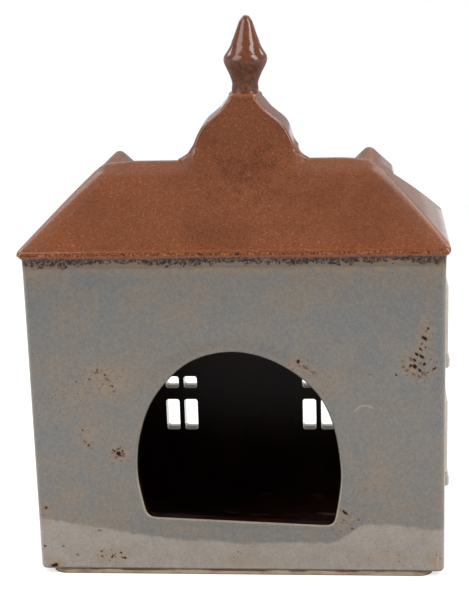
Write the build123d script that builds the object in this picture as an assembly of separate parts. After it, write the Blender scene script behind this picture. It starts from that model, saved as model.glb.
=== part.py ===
from build123d import *
import os

# A glazed ceramic tealight house, in millimetres. Its facade looks along +Y and the hand
# opening, through which the tealight goes in, looks along -Y. Z = 0 is the table.

# House body
house_width = 167.0
house_depth = 76.0
wall_height = 134.2
wall_thickness = 5.0
corner_radius = 3.0
lower_edge_radius = 1.5

# Floor, let in between the walls, with the bare foot that it stands on
foot_height = 2.0
foot_inset = 0.8
foot_end_inset = 4.5
foot_corner_radius = 6.0
floor_thickness = 5.5

# Hand opening in the rear wall, cut by hand and so a little uneven
opening_width = 83.4
opening_height = 74.7
opening_base = 22.6
opening_shift = 0.8
opening_corner_radius = 6.0
rim_radius = 1.8
inner_rim_radius = 1.2

# Its arch from the left foot over the crown to the right foot, as shares of half the
# width and of the height
opening_arch_shares = (
    (-0.915, 0.060),
    (-0.955, 0.150),
    (-0.998, 0.320),
    (-0.958, 0.530),
    (-0.800, 0.748),
    (-0.464, 0.938),
    (-0.036, 1.000),
    (0.377, 0.944),
    (0.735, 0.798),
    (0.920, 0.612),
    (1.000, 0.340),
    (0.975, 0.160),
    (0.925, 0.000),
)

# Roof: four slabs mitred at the hips, on a moulding under the eaves
eave_overhang = 1.6
eave_edge_height = 1.5
roof_rise = 32.0
ridge_length = 107.0
roof_thickness = 5.6
roof_edge_radius = 3.3
moulding_height = 4.8
moulding_lip = 1.6
moulding_toe = 0.3
moulding_waist_out_share = 0.42
moulding_waist_down_share = 0.36

# Bell-shaped crest that stands on the ridge and the front slope
crest_width = 55.0
crest_height = 26.2
crest_depth = 15.0
crest_shift = 2.8
crest_edge_radius = 1.6
crest_top_width = 11.0

# Outline of the crest's right half from the ridge to just under its flat top, as shares
# of half the width and of the height
crest_outline_shares = (
    (1.000, 0.000),
    (0.860, 0.070),
    (0.770, 0.200),
    (0.705, 0.350),
    (0.625, 0.510),
    (0.515, 0.635),
    (0.390, 0.755),
    (0.275, 0.890),
)

# Turned finial on the crest
finial_height = 31.0
finial_foot_radius = 5.6
finial_neck_radius = 5.0
finial_belly_radius = 8.5
finial_tip_radius = 1.9
finial_belly_round = 1.6
finial_tip_round = 1.5
finial_shift = 4.5
finial_lean_degrees = 2.0
finial_neck_share = 0.13
finial_throat_share = 0.31
finial_belly_share = 0.46
finial_throat_swell_share = 0.40

# Dormers on the front slope
dormer_width = 20.8
dormer_inset = 29.4
dormer_setback = 1.2
dormer_drop = 1.0
dormer_gable_rise = 9.6
dormer_shoulder_radius = 3.5
dormer_peak_radius = 3.0
dormer_ridge_gap = 0.8

# Pierced windows with four panes, two tall ones under two small ones
pane_width = 6.0
muntin_width = 2.2
ground_pane_height = 14.5
storey_pane_height = 12.0
top_pane_height = 5.6
transom_height = 5.2
pane_corner_radius = 1.2
storey_pane_base = 89.8
storey_rise = 51.8
bay_pitch = 30.8

# Cream frames laid on the walls round the panes
frame_border = 3.8
frame_proud = 2.4
frame_corner_radius = 1.6
frame_edge_radius = 1.4
sill_height = 4.6
sill_lap = 1.5
sill_proud = 3.0
sill_edge_radius = 1.2

# Small windows on the dormers and the round one on the crest, which don't go through
dormer_pane_width = 4.2
dormer_pane_height = 10.0
dormer_muntin_width = 1.4
dormer_pane_base = 6.0
dormer_frame_border = 1.8
dormer_frame_proud = 1.2
dormer_frame_edge_radius = 0.6
dormer_pane_depth = 1.6
roundel_radius = 6.2
roundel_border = 2.2
roundel_proud = 1.4
roundel_depth = 1.6
roundel_rise = 12.0
roundel_edge_radius = 0.6

# Front door
door_width = 20.0
door_height = 47.0
door_thickness = 1.4
door_surround_width = 5.0
door_surround_proud = 2.6
door_surround_edge_radius = 1.3
door_panel_border = 2.6
door_panel_gap = 2.4
door_panel_depth = 0.7
door_panel_corner_radius = 0.8
door_lower_panel_share = 0.36
knob_radius = 1.2
knob_neck_radius = 0.7
knob_proud = 2.6
knob_height_share = 0.44
knob_inset = 1.35
step_width = 36.0
step_depth = 4.4
step_height = 6.0
step_edge_radius = 1.2

# Spare length of the tools that cut right through
overrun = 4.0

# How far the prisms that part the roof slopes reach past the eaves
slope_cut_share = 1.2

# Worked out from the sizes above
wall_base = foot_height
wall_top = foot_height + wall_height
inner_width = house_width - 2 * wall_thickness
inner_depth = house_depth - 2 * wall_thickness
dormer_length = house_depth / 2 - dormer_setback - dormer_ridge_gap
ground_pane_base = storey_pane_base - storey_rise
eave_half_width = house_width / 2 + eave_overhang
eave_half_depth = house_depth / 2 + eave_overhang
ridge_sharp = wall_top + roof_rise
side_pitch = (roof_rise - eave_edge_height) / (eave_half_width - ridge_length / 2)
front_pitch = (roof_rise - eave_edge_height) / eave_half_depth
ridge_top = ridge_sharp - roof_edge_radius * ((1 + front_pitch**2) ** 0.5 - 1)
crest_top = ridge_top + crest_height
glass_width = 2 * pane_width + muntin_width
frame_width = glass_width + 2 * frame_border

front_face = Plane((0, house_depth / 2, 0), x_dir=(-1, 0, 0), z_dir=(0, 1, 0))
rear_face = Plane((0, -house_depth / 2, 0), x_dir=(1, 0, 0), z_dir=(0, -1, 0))
right_face = Plane((house_width / 2, 0, 0), x_dir=(0, 1, 0), z_dir=(1, 0, 0))
left_face = Plane((-house_width / 2, 0, 0), x_dir=(0, -1, 0), z_dir=(-1, 0, 0))


def outer_edges(solid, face_plane):
    """Edges round the outside of the face of a solid that lies furthest out."""
    axis = Axis(face_plane.origin, face_plane.z_dir)
    return solid.faces().sort_by(axis)[-1].outer_wire().edges()


# Floor and foot
def base_slab():
    foot = Plane.XY * RectangleRounded(
        house_width - 2 * foot_end_inset,
        house_depth - 2 * foot_inset,
        foot_corner_radius,
    )
    floor = Plane.XY.offset(foot_height) * Rectangle(inner_width, inner_depth)
    return extrude(foot, foot_height) + extrude(floor, floor_thickness)


# Walls, mitred at the corners
def wall_ring():
    level = Plane.XY.offset(wall_base)
    outer = extrude(level * RectangleRounded(house_width, house_depth, corner_radius), wall_height)
    outer = fillet(outer.faces().sort_by(Axis.Z)[0].edges(), lower_edge_radius)
    inner = extrude(level * Rectangle(inner_width, inner_depth), wall_height)
    return outer - inner


def mitre_region(face_plane, length):
    """Prism over the plan of one wall, between the mitres at its two ends."""
    reach = wall_thickness / 2
    outer = length / 2 + reach
    inner = length / 2 - wall_thickness - reach
    plan = Polyline(
        (-outer, reach),
        (outer, reach),
        (inner, -wall_thickness - reach),
        (-inner, -wall_thickness - reach),
        close=True,
    )
    floor_plan = Plane(face_plane.origin, x_dir=face_plane.x_dir, z_dir=(0, 0, 1))
    if face_plane.z_dir.dot(floor_plan.y_dir) < 0:
        plan = mirror(plan, about=Plane.XZ)
    return extrude(floor_plan * make_face(plan), wall_top + overrun)


def opening_outline():
    half = opening_width / 2
    points = [(opening_shift + x * half, opening_base + z * opening_height) for x, z in opening_arch_shares]
    arch = Spline(*points)
    sill = Line(points[-1], points[0])
    outline = make_face([arch, sill])
    return fillet(outline.vertices(), opening_corner_radius)


def rear_wall(ring):
    wall = ring & mitre_region(rear_face, house_width)
    cut = extrude(rear_face.offset(overrun) * opening_outline(), -wall_thickness - 2 * overrun)
    wall = wall - cut
    outside = wall.faces().sort_by(Axis.Y)[0]
    wall = fillet(outside.inner_wires()[0].edges(), rim_radius)
    inside = wall.faces().sort_by(Axis.Y)[-1]
    return fillet(inside.inner_wires()[0].edges(), inner_rim_radius)


def pane_group(centre, base, low_height):
    """The four panes of a window: two tall ones and, over the transom, two small ones."""
    panes = Sketch()
    rows = ((base, low_height), (base + low_height + transom_height, top_pane_height))
    for side in (-1, 1):
        across = centre + side * (pane_width + muntin_width) / 2
        for bottom, height in rows:
            pane = RectangleRounded(pane_width, height, pane_corner_radius)
            panes += Pos(across, bottom + height / 2) * pane
    return panes


def pierced_wall(ring, face_plane, length, windows):
    wall = ring & mitre_region(face_plane, length)
    for centre, base, low_height in windows:
        panes = face_plane.offset(overrun) * pane_group(centre, base, low_height)
        wall -= extrude(panes, -wall_thickness - 2 * overrun)
    return wall


# Cream window frame with its sill, laid flat on the wall
def window_frame(face_plane, centre, base, low_height):
    glass_height = low_height + transom_height + top_pane_height
    middle = base + glass_height / 2
    frame_height = glass_height + 2 * frame_border
    rim = Pos(centre, middle) * RectangleRounded(frame_width, frame_height, frame_corner_radius)
    frame = extrude(face_plane * rim, frame_proud)
    frame = fillet(outer_edges(frame, face_plane), frame_edge_radius)
    frame -= extrude(face_plane * pane_group(centre, base, low_height), frame_proud)
    sill_middle = base - frame_border - sill_height / 2
    sill = Pos(centre, sill_middle) * Rectangle(frame_width + 2 * sill_lap, sill_height)
    sill = extrude(face_plane * sill, sill_proud)
    sill = fillet(outer_edges(sill, face_plane), sill_edge_radius)
    return frame + sill


# Roof
def gable_profile(half_span, foot, eave, pitch):
    """House-shaped section: upright edges from the foot to the eaves, under two slopes."""
    return make_face(
        Polyline(
            (-half_span, foot),
            (half_span, foot),
            (half_span, eave),
            (0, eave + half_span * pitch),
            (-half_span, eave),
            close=True,
        )
    )


def hip_block(half_width, half_depth, foot, side_eave, side_slope, front_eave, front_slope):
    """Hipped block: a gabled prism along X crossed with a steeper one along Y."""
    reach = half_width + overrun
    along_x = extrude(Plane.YZ * gable_profile(half_depth, foot, front_eave, front_slope), reach, both=True)
    along_y = extrude(Plane.XZ * gable_profile(half_width, foot, side_eave, side_slope), reach, both=True)
    return along_x & along_y


def roof_outside():
    """A smaller hipped block, swollen by the edge radius and cut level at the wall tops."""
    radius = roof_edge_radius
    eave = wall_top + eave_edge_height
    core = hip_block(
        eave_half_width - radius,
        eave_half_depth - radius,
        wall_top - radius - overrun,
        eave + radius * (side_pitch - (1 + side_pitch**2) ** 0.5),
        side_pitch,
        eave + radius * (front_pitch - (1 + front_pitch**2) ** 0.5),
        front_pitch,
    )
    swollen = offset(core, amount=radius, kind=Kind.ARC)
    return split(swollen, bisect_by=Plane.XY.offset(wall_top), keep=Keep.TOP)


def roof_shell(outside):
    half_width = inner_width / 2
    half_depth = inner_depth / 2
    pitch = (roof_rise - roof_thickness) / half_depth
    hollow = hip_block(half_width, half_depth, wall_top - overrun, wall_top, side_pitch, wall_top, pitch)
    return outside - hollow


def slope_region(corners):
    plan = Plane.XY.offset(wall_top - overrun) * make_face(Polyline(*corners, close=True))
    return extrude(plan, roof_rise + 2 * overrun)


def roof_slopes(shell):
    ridge_half = ridge_length / 2
    run = eave_half_width - ridge_half
    far_x = ridge_half + slope_cut_share * run
    far_y = slope_cut_share * eave_half_depth
    rear = ((-ridge_half, 0), (ridge_half, 0), (far_x, -far_y), (-far_x, -far_y))
    front = ((-ridge_half, 0), (ridge_half, 0), (far_x, far_y), (-far_x, far_y))
    right = ((ridge_half, 0), (far_x, -far_y), (far_x, far_y))
    left = ((-ridge_half, 0), (-far_x, -far_y), (-far_x, far_y))
    names = ("rear_roof_slope", "front_roof_slope", "right_roof_slope", "left_roof_slope")
    return {name: shell & slope_region(plan) for name, plan in zip(names, (rear, front, right, left))}


def eave_moulding():
    """Cove run round the tops of the walls, under the overhang of the roof."""
    waist_out = eave_overhang * moulding_waist_out_share
    waist_down = moulding_lip + (moulding_height - moulding_lip) * moulding_waist_down_share
    profile = Polyline((0, 0), (eave_overhang, 0), (eave_overhang, -moulding_lip)) + ThreePointArc(
        (eave_overhang, -moulding_lip),
        (waist_out, -waist_down),
        (moulding_toe, -moulding_height),
    )
    profile += Polyline((moulding_toe, -moulding_height), (0, -moulding_height), (0, 0))
    plan = Plane.XY.offset(wall_top) * RectangleRounded(house_width, house_depth, corner_radius)
    path = plan.face().outer_wire()
    up = Vector(0, 0, 1)
    outward = (path % 0).cross(up)
    if outward.dot(path @ 0) < 0:
        outward = -outward
    start = Plane(path @ 0, x_dir=outward, z_dir=outward.cross(up))
    return sweep(start * make_face(profile), path=path)


# Crest and finial
def crest_outline():
    half = crest_width / 2
    right = [(half * x, ridge_top + crest_height * z) for x, z in crest_outline_shares]
    right.append((crest_top_width / 2, crest_top))
    left = [(-x, z) for x, z in reversed(right)]
    root = wall_top + eave_edge_height
    return make_face([
        Spline(*right),
        Line(right[-1], left[0]),
        Spline(*left),
        Line(left[-1], (-half, root)),
        Line((-half, root), (half, root)),
        Line((half, root), right[0]),
    ])


def crest_face():
    return Plane((crest_shift, crest_depth, 0), x_dir=(-1, 0, 0), z_dir=(0, 1, 0))


def ridge_crest(roof):
    crest = extrude(crest_face() * crest_outline(), -crest_depth)
    rims = crest.edges().filter_by(lambda edge: edge.geom_type == GeomType.BSPLINE)
    crest = fillet(rims, crest_edge_radius)
    recess = crest_face() * Pos(0, ridge_top + roundel_rise) * Circle(roundel_radius - roundel_border)
    return crest - roof - extrude(recess, -roundel_depth)


def crest_roundel():
    ring = Circle(roundel_radius) - Circle(roundel_radius - roundel_border)
    solid = extrude(crest_face() * Pos(0, ridge_top + roundel_rise) * ring, roundel_proud)
    return fillet(solid.faces().sort_by(Axis.Y)[-1].edges(), roundel_edge_radius)


def finial_profile():
    """Half section of the finial; its foot runs on below the seat, to be cut to the lean."""
    neck = finial_height * finial_neck_share
    throat = finial_height * finial_throat_share
    belly = finial_height * finial_belly_share
    swell = (finial_belly_radius - finial_neck_radius) * finial_throat_swell_share
    throat_radius = finial_neck_radius + swell
    tip = finial_height - finial_tip_radius
    root = -finial_foot_radius * finial_neck_share
    profile = make_face([
        Line((0, root), (finial_foot_radius, root)),
        Line((finial_foot_radius, root), (finial_foot_radius, 0)),
        ThreePointArc((finial_foot_radius, 0), (finial_neck_radius, neck), (throat_radius, throat)),
        Line((throat_radius, throat), (finial_belly_radius, belly)),
        Line((finial_belly_radius, belly), (finial_tip_radius, tip)),
        Line((finial_tip_radius, tip), (0, finial_height)),
        Line((0, finial_height), (0, root)),
    ])
    profile = fillet(profile.vertices().sort_by(Axis.X)[-1:], finial_belly_round)
    shoulder = profile.vertices().filter_by(lambda corner: corner.X > 0).sort_by(Axis.Y)[-1:]
    return fillet(shoulder, finial_tip_round)


def finial():
    turned = revolve(Plane.XZ * finial_profile(), Axis.Z)
    leaning = Rotation(0, finial_lean_degrees, 0) * turned
    seat = Plane((finial_shift, crest_depth / 2, crest_top), x_dir=(1, 0, 0), z_dir=(0, 0, 1))
    return split(seat * leaning, bisect_by=seat, keep=Keep.TOP)


# Dormers
def dormer_plane(side):
    across = side * (house_width / 2 - dormer_inset)
    return Plane((across, house_depth / 2 - dormer_setback, 0), x_dir=(-1, 0, 0), z_dir=(0, 1, 0))


def dormer_outline():
    half = dormer_width / 2
    peak = ridge_top - dormer_drop
    eave = peak - dormer_gable_rise
    root = wall_top + eave_edge_height
    corners = ((-half, root), (half, root), (half, eave), (0, peak), (-half, eave))
    outline = make_face(Polyline(*corners, close=True))
    outline = fillet(outline.vertices().group_by(Axis.Y)[1], dormer_shoulder_radius)
    return fillet(outline.vertices().sort_by(Axis.Y)[-1:], dormer_peak_radius)


def dormer_panes():
    panes = Sketch()
    base = wall_top + eave_edge_height + dormer_pane_base
    for side in (-1, 1):
        across = side * (dormer_pane_width + dormer_muntin_width) / 2
        pane = RectangleRounded(dormer_pane_width, dormer_pane_height, pane_corner_radius)
        panes += Pos(across, base + dormer_pane_height / 2) * pane
    return panes


def dormer(side, roof):
    body = extrude(dormer_plane(side) * dormer_outline(), -dormer_length)
    return body - roof - extrude(dormer_plane(side) * dormer_panes(), -dormer_pane_depth)


def dormer_window(side):
    base = wall_top + eave_edge_height + dormer_pane_base
    width = 2 * dormer_pane_width + dormer_muntin_width + 2 * dormer_frame_border
    height = dormer_pane_height + 2 * dormer_frame_border
    rim = Pos(0, base + dormer_pane_height / 2) * RectangleRounded(width, height, pane_corner_radius)
    frame = extrude(dormer_plane(side) * (rim - dormer_panes()), dormer_frame_proud)
    return fillet(outer_edges(frame, dormer_plane(side)), dormer_frame_edge_radius)


# Door
def arched(width, height, base):
    """Upright rectangle with a half-round head, standing at the given height."""
    spring = base + height - width / 2
    return make_face([
        Line((-width / 2, spring), (-width / 2, base)),
        Line((-width / 2, base), (width / 2, base)),
        Line((width / 2, base), (width / 2, spring)),
        ThreePointArc((width / 2, spring), (0, base + height), (-width / 2, spring)),
    ])


def door_leaf():
    leaf = extrude(front_face * arched(door_width, door_height, step_height), door_thickness)
    panel_width = door_width - 2 * door_panel_border
    low_base = step_height + door_panel_border
    low_height = door_height * door_lower_panel_share
    high_base = low_base + low_height + door_panel_gap
    high_height = step_height + door_height - door_panel_border - high_base
    low_panel = RectangleRounded(panel_width, low_height, door_panel_corner_radius)
    low = Pos(0, low_base + low_height / 2) * low_panel
    high = arched(panel_width, high_height, high_base)
    surface = front_face.offset(door_thickness)
    return leaf - extrude(surface * (Sketch() + low + high), -door_panel_depth)


def door_surround():
    outer = arched(door_width + 2 * door_surround_width, door_height + door_surround_width, step_height)
    inner = arched(door_width, door_height, step_height)
    arch = extrude(front_face * (outer - inner), door_surround_proud)
    rims = arch.faces().sort_by(Axis.Y)[-1].edges()
    foot_edges = rims.group_by(Axis.Z)[0]
    return fillet(rims - foot_edges, door_surround_edge_radius)


def door_knob():
    height = step_height + door_height * knob_height_share
    across = door_width / 2 - knob_inset
    seat = front_face.offset(door_thickness) * Pos(across, height)
    middle = knob_proud - knob_radius
    neck = extrude(Circle(knob_neck_radius), middle)
    return seat * (neck + Pos(0, 0, middle) * Sphere(knob_radius))


def doorstep():
    plan = Pos(0, house_depth / 2 + step_depth / 2) * Rectangle(step_width, step_depth)
    block = extrude(plan, step_height)
    top = block.faces().sort_by(Axis.Z)[-1].edges().filter_by(lambda edge: edge.center().Y > house_depth / 2)
    return fillet(top, step_edge_radius)


def window_places():
    """Middle of each window across its wall, the height of its panes and of the tall ones."""
    ground = (ground_pane_base, ground_pane_height)
    storey = (storey_pane_base, storey_pane_height)
    lower = [(bay * bay_pitch, *ground) for bay in (-2, -1, 1, 2)]
    upper = [(bay * bay_pitch, *storey) for bay in (-2, -1, 0, 1, 2)]
    front = {f"front_lower_window_{count}": place for count, place in enumerate(lower, 1)}
    front.update({f"front_upper_window_{count}": place for count, place in enumerate(upper, 1)})
    left = {"left_lower_window": (0, *ground), "left_upper_window": (0, *storey)}
    right = {"right_lower_window": (0, *ground), "right_upper_window": (0, *storey)}
    return front, left, right


def all_pieces():
    ring = wall_ring()
    front, left, right = window_places()
    pieces = {
        "base_slab": base_slab(),
        "rear_wall": rear_wall(ring),
        "front_wall": pierced_wall(ring, front_face, house_width, front.values()),
        "left_wall": pierced_wall(ring, left_face, house_depth, left.values()),
        "right_wall": pierced_wall(ring, right_face, house_depth, right.values()),
        "eave_moulding": eave_moulding(),
    }
    for face_plane, windows in ((front_face, front), (left_face, left), (right_face, right)):
        for name, place in windows.items():
            pieces[name] = window_frame(face_plane, *place)
    roof = roof_outside()
    pieces.update(roof_slopes(roof_shell(roof)))
    pieces["ridge_crest"] = ridge_crest(roof)
    pieces["crest_roundel"] = crest_roundel()
    pieces["finial"] = finial()
    for side, name in ((1, "right"), (-1, "left")):
        pieces[f"{name}_dormer"] = dormer(side, roof)
        pieces[f"{name}_dormer_window"] = dormer_window(side)
    pieces["door_leaf"] = door_leaf()
    pieces["door_surround"] = door_surround()
    pieces["door_knob"] = door_knob()
    pieces["doorstep"] = doorstep()
    return pieces


os.makedirs("parts", exist_ok=True)
for node, piece in all_pieces().items():
    export_step(piece, f"parts/{node}.step")
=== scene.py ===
import math

import bpy
import numpy as np
from bpy.props import FloatProperty, FloatVectorProperty, PointerProperty
from mathutils import Matrix, Vector


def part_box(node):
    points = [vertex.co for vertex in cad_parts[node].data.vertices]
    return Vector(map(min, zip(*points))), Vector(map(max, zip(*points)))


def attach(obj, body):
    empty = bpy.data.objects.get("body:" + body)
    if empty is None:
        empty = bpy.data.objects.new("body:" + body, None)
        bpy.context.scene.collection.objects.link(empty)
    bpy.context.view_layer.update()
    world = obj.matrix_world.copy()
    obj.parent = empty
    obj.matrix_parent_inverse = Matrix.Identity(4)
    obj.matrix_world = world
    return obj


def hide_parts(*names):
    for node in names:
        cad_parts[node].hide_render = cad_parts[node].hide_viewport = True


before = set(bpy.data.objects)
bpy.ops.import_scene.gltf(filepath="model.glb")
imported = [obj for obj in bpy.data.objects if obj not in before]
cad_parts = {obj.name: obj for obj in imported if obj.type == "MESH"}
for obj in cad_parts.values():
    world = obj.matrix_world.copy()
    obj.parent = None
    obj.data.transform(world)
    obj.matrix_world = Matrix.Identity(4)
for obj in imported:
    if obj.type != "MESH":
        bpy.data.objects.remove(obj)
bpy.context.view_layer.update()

bl_info = {
    "name": "Tealight House",
    "version": (1, 0, 0),
    "blender": (4, 5, 0),
    "location": "3D View > Sidebar > Tealight House",
    "description": "Glazes and hand-made surfaces for a ceramic tealight house",
    "category": "Add Mesh",
}

MM = 0.001
BODY = "root"

# Places taken from the frame, in metres
WALL_LOW, WALL_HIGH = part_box("rear_wall")
_, SIDE_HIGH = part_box("right_wall")
_, FRONT_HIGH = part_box("front_wall")
_, SIDE_SLOPE_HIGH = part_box("right_roof_slope")
SLOPE_LOW, SLOPE_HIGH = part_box("rear_roof_slope")
COVE_LOW, COVE_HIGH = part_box("eave_moulding")
CREST_LOW, CREST_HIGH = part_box("ridge_crest")
FINIAL_LOW, FINIAL_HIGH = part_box("finial")

HALF_WIDTH = SIDE_HIGH.x
HALF_DEPTH = FRONT_HIGH.y
WALL_BASE = WALL_LOW.z
WALL_TOP = WALL_HIGH.z
EAVE_HALF_WIDTH = SIDE_SLOPE_HIGH.x
EAVE_HALF_DEPTH = -SLOPE_LOW.y
RIDGE_TOP = SLOPE_HIGH.z
CREST_TOP = CREST_HIGH.z
CREST_MIDDLE = (CREST_LOW.x + CREST_HIGH.x) / 2
CREST_HALF_WIDTH = (CREST_HIGH.x - CREST_LOW.x) / 2
CREST_DEPTH = CREST_HIGH.y

# Build of the body, as in the solids
WALL_THICKNESS = 5.0 * MM
CORNER_RADIUS = 3.0 * MM
LOWER_EDGE_RADIUS = 1.5 * MM
EAVE_EDGE = 1.5 * MM
ROOF_EDGE_RADIUS = 3.3 * MM
ROOF_RISE = 32.0 * MM
RIDGE_LENGTH = 107.0 * MM
ROOF_THICKNESS = 5.6 * MM
MOULDING_LIP = 1.6 * MM
MOULDING_TOE = 0.03 * MM
MOULDING_NOSE = 1.2 * MM
FINIAL_SHIFT = 3.7 * MM
INNER_HALF_WIDTH = HALF_WIDTH - WALL_THICKNESS
INNER_HALF_DEPTH = HALF_DEPTH - WALL_THICKNESS
SIDE_PITCH = (ROOF_RISE - EAVE_EDGE) / (EAVE_HALF_WIDTH - RIDGE_LENGTH / 2)
FRONT_PITCH = (ROOF_RISE - EAVE_EDGE) / EAVE_HALF_DEPTH

# Welding of the grids; the shift keeps points at round places off the borders of the weld's cells
WELD_DISTANCE = 1e-6
WELD_SHIFT = 0.37
SMALLEST_AREA = 1e-13

# How thin the glaze has run, as the grids carry it in their attribute "worn"
THIN = 1.0
# Marks where shade is painted near-black: inside the house and in the opening's sleeve
PAINTED_SHADE = 2.0


def srgb(red, green, blue):
    """Linear colour of a screen colour given from 0 to 255."""
    screen = np.array([red, green, blue]) / 255
    linear = np.where(screen <= 0.04045, screen / 12.92, ((screen + 0.055) / 1.055) ** 2.4)
    return tuple(float(value) for value in linear)


def colour_property(name, description, *screen):
    return FloatVectorProperty(
        name=name, description=description, subtype="COLOR", size=3, min=0.0, max=1.0, default=srgb(*screen)
    )


def length_property(name, description, default):
    return FloatProperty(
        name=name, description=description, unit="LENGTH", subtype="DISTANCE", default=default
    )


class GlazeColours(bpy.types.PropertyGroup):
    """Colours of the glazes and of the bare clay."""

    wall_blue: colour_property("Wall blue", "Blue-grey of the thick wall glaze", 113, 115, 115)
    wall_beige: colour_property("Wall beige", "Beige where the wall glaze runs thin", 132, 120, 106)
    wall_band: colour_property("Wall band", "Paler glaze near the foot", 160, 150, 138)
    band_grey: colour_property("Band grey", "Greyer clouds in the paler glaze", 150, 140, 130)
    rust: colour_property("Rust", "Iron spots in the wall glaze", 96, 58, 34)
    rust_ring: colour_property("Rust ring", "Ring round the iron marks", 132, 92, 60)
    tan: colour_property("Tan", "Stains round the iron spots", 150, 124, 96)
    # Part bare glaze edge and part painted highlight
    bare_rim_and_highlight: colour_property("Bare rim", "Cream line where the wall glaze draws back", 192, 175, 152)
    foot_brown_and_contact_shadow: colour_property("Foot line", "Brown line where the wall glaze ends", 88, 60, 44)
    # Also darkens the lowest edge of the foot as a painted contact shadow
    iron: colour_property("Iron", "Darkest iron marks", 30, 13, 6)
    roof_brown: colour_property("Roof brown", "Terracotta glaze of the roof", 134, 77, 48)
    roof_dark: colour_property("Roof dark", "Darker mottling of the roof", 100, 56, 36)
    roof_orange: colour_property("Roof orange", "Orange where the roof glaze thins", 165, 92, 50)
    roof_pale: colour_property("Roof pale", "Pale bloom on the roof", 172, 118, 88)
    roof_speck: colour_property("Roof specks", "Light specks on the roof", 190, 142, 110)
    eave_crumb: colour_property("Eave crumbs", "Orange crumbs along the eaves", 188, 124, 78)
    # Partly painted shade: thin glaze in the cove, darkened as shade under the eaves
    cove: colour_property("Cove", "Thin dull glaze in the cove under the eaves", 120, 102, 82)
    cream: colour_property("Cream", "Cream glaze of the frames and the door surround", 206, 197, 180)
    cream_dark: colour_property("Cream, darker", "Darker clouds in the cream glaze", 184, 166, 140)
    # Painted shade: the inside of the house is painted near-black, with browner streaks
    chamber: colour_property("Chamber", "Brown-black glaze of the inside", 26, 12, 8)
    chamber_streak: colour_property("Chamber streaks", "Browner streaks of the inside", 42, 20, 12)
    clay: colour_property("Clay", "Bare fired clay of the foot", 186, 166, 140)
    clay_dark: colour_property("Clay, darker", "Darker clouds in the bare clay", 120, 92, 66)
    floor_dark: colour_property("Floor dark", "Smoked glaze of the chamber's floor", 44, 22, 13)
    floor_brown: colour_property("Floor brown", "Browner smears on the chamber's floor", 66, 33, 20)
    floor_scratch: colour_property("Floor scratches", "Pale scratches on the chamber's floor", 150, 130, 112)
    door: colour_property("Door", "Glaze of the door", 112, 62, 40)
    step: colour_property("Step", "Glaze of the doorstep", 120, 112, 102)


class HouseShape(bpy.types.PropertyGroup):
    """How far the hand-made surfaces leave the true ones."""

    waver_depth: length_property("Waver", "Depth of the soft unevenness of the walls and roof", 0.35 * MM)
    hip_low: length_property("Hip at the eaves", "Rounding of the hips at the eaves", 2.2 * MM)
    hip_high: length_property("Hip at the ridge", "Rounding of the hips at the ridge", 6.5 * MM)
    rim_radius: length_property("Rim", "Rounding of the hand opening's rim", 1.2 * MM)
    crease: length_property("Crease", "Reach of the soft crease between crest and slope", 9.0 * MM)


# Mesh making
WAVE_LENGTHS = (0.7, 1.6)
WAVE_GAIN = 1.5


def waver(points, size, seed, waves=9):
    """Soft unevenness from about -1 to 1: the mean of sine waves across the points, whose
    headings, lengths near the size and starts are drawn from the seed."""
    draw = np.random.default_rng(seed)
    heading = draw.normal(size=(waves, 3))
    heading /= np.linalg.norm(heading, axis=1, keepdims=True)
    length = size * draw.uniform(*WAVE_LENGTHS, waves)
    start = draw.uniform(0, 2 * math.pi, waves)
    phase = points @ (2 * math.pi * heading / length[:, None]).T + start
    return WAVE_GAIN * np.sin(phase).mean(axis=-1)


def grid_normals(grid, wraps):
    """Unit normals of a grid of points: the cross product of its two slopes, taken round
    the join where an axis wraps. A row that is one point takes the mean of its neighbour."""
    slopes = []
    for axis, wrapped in enumerate(wraps):
        if wrapped:
            slopes.append(np.roll(grid, -1, axis) - np.roll(grid, 1, axis))
        else:
            slopes.append(np.gradient(grid, axis=axis))
    normals = np.cross(slopes[0], slopes[1])
    size = np.linalg.norm(normals, axis=-1)
    good = size > SMALLEST_AREA
    normals /= np.maximum(size, SMALLEST_AREA)[..., None]
    latest = np.maximum.accumulate(np.where(good, np.arange(grid.shape[1]), 0), axis=1)
    normals = np.take_along_axis(normals, latest[..., None], axis=1)
    for end, near in ((0, 1), (-1, -2)):
        if not good[end].all():
            mean = normals[near].mean(axis=0)
            normals[end] = mean / max(np.linalg.norm(mean), SMALLEST_AREA)
    return normals


def smooth(share):
    """Smooth step: a share held between 0 and 1, three times its square less twice its cube."""
    share = np.clip(share, 0, 1)
    return share**2 * (3 - 2 * share)


def add_object(name, data):
    """A new object at the origin that carries the data."""
    added = bpy.data.objects.new(name, data)
    bpy.context.scene.collection.objects.link(added)
    return added


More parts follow.
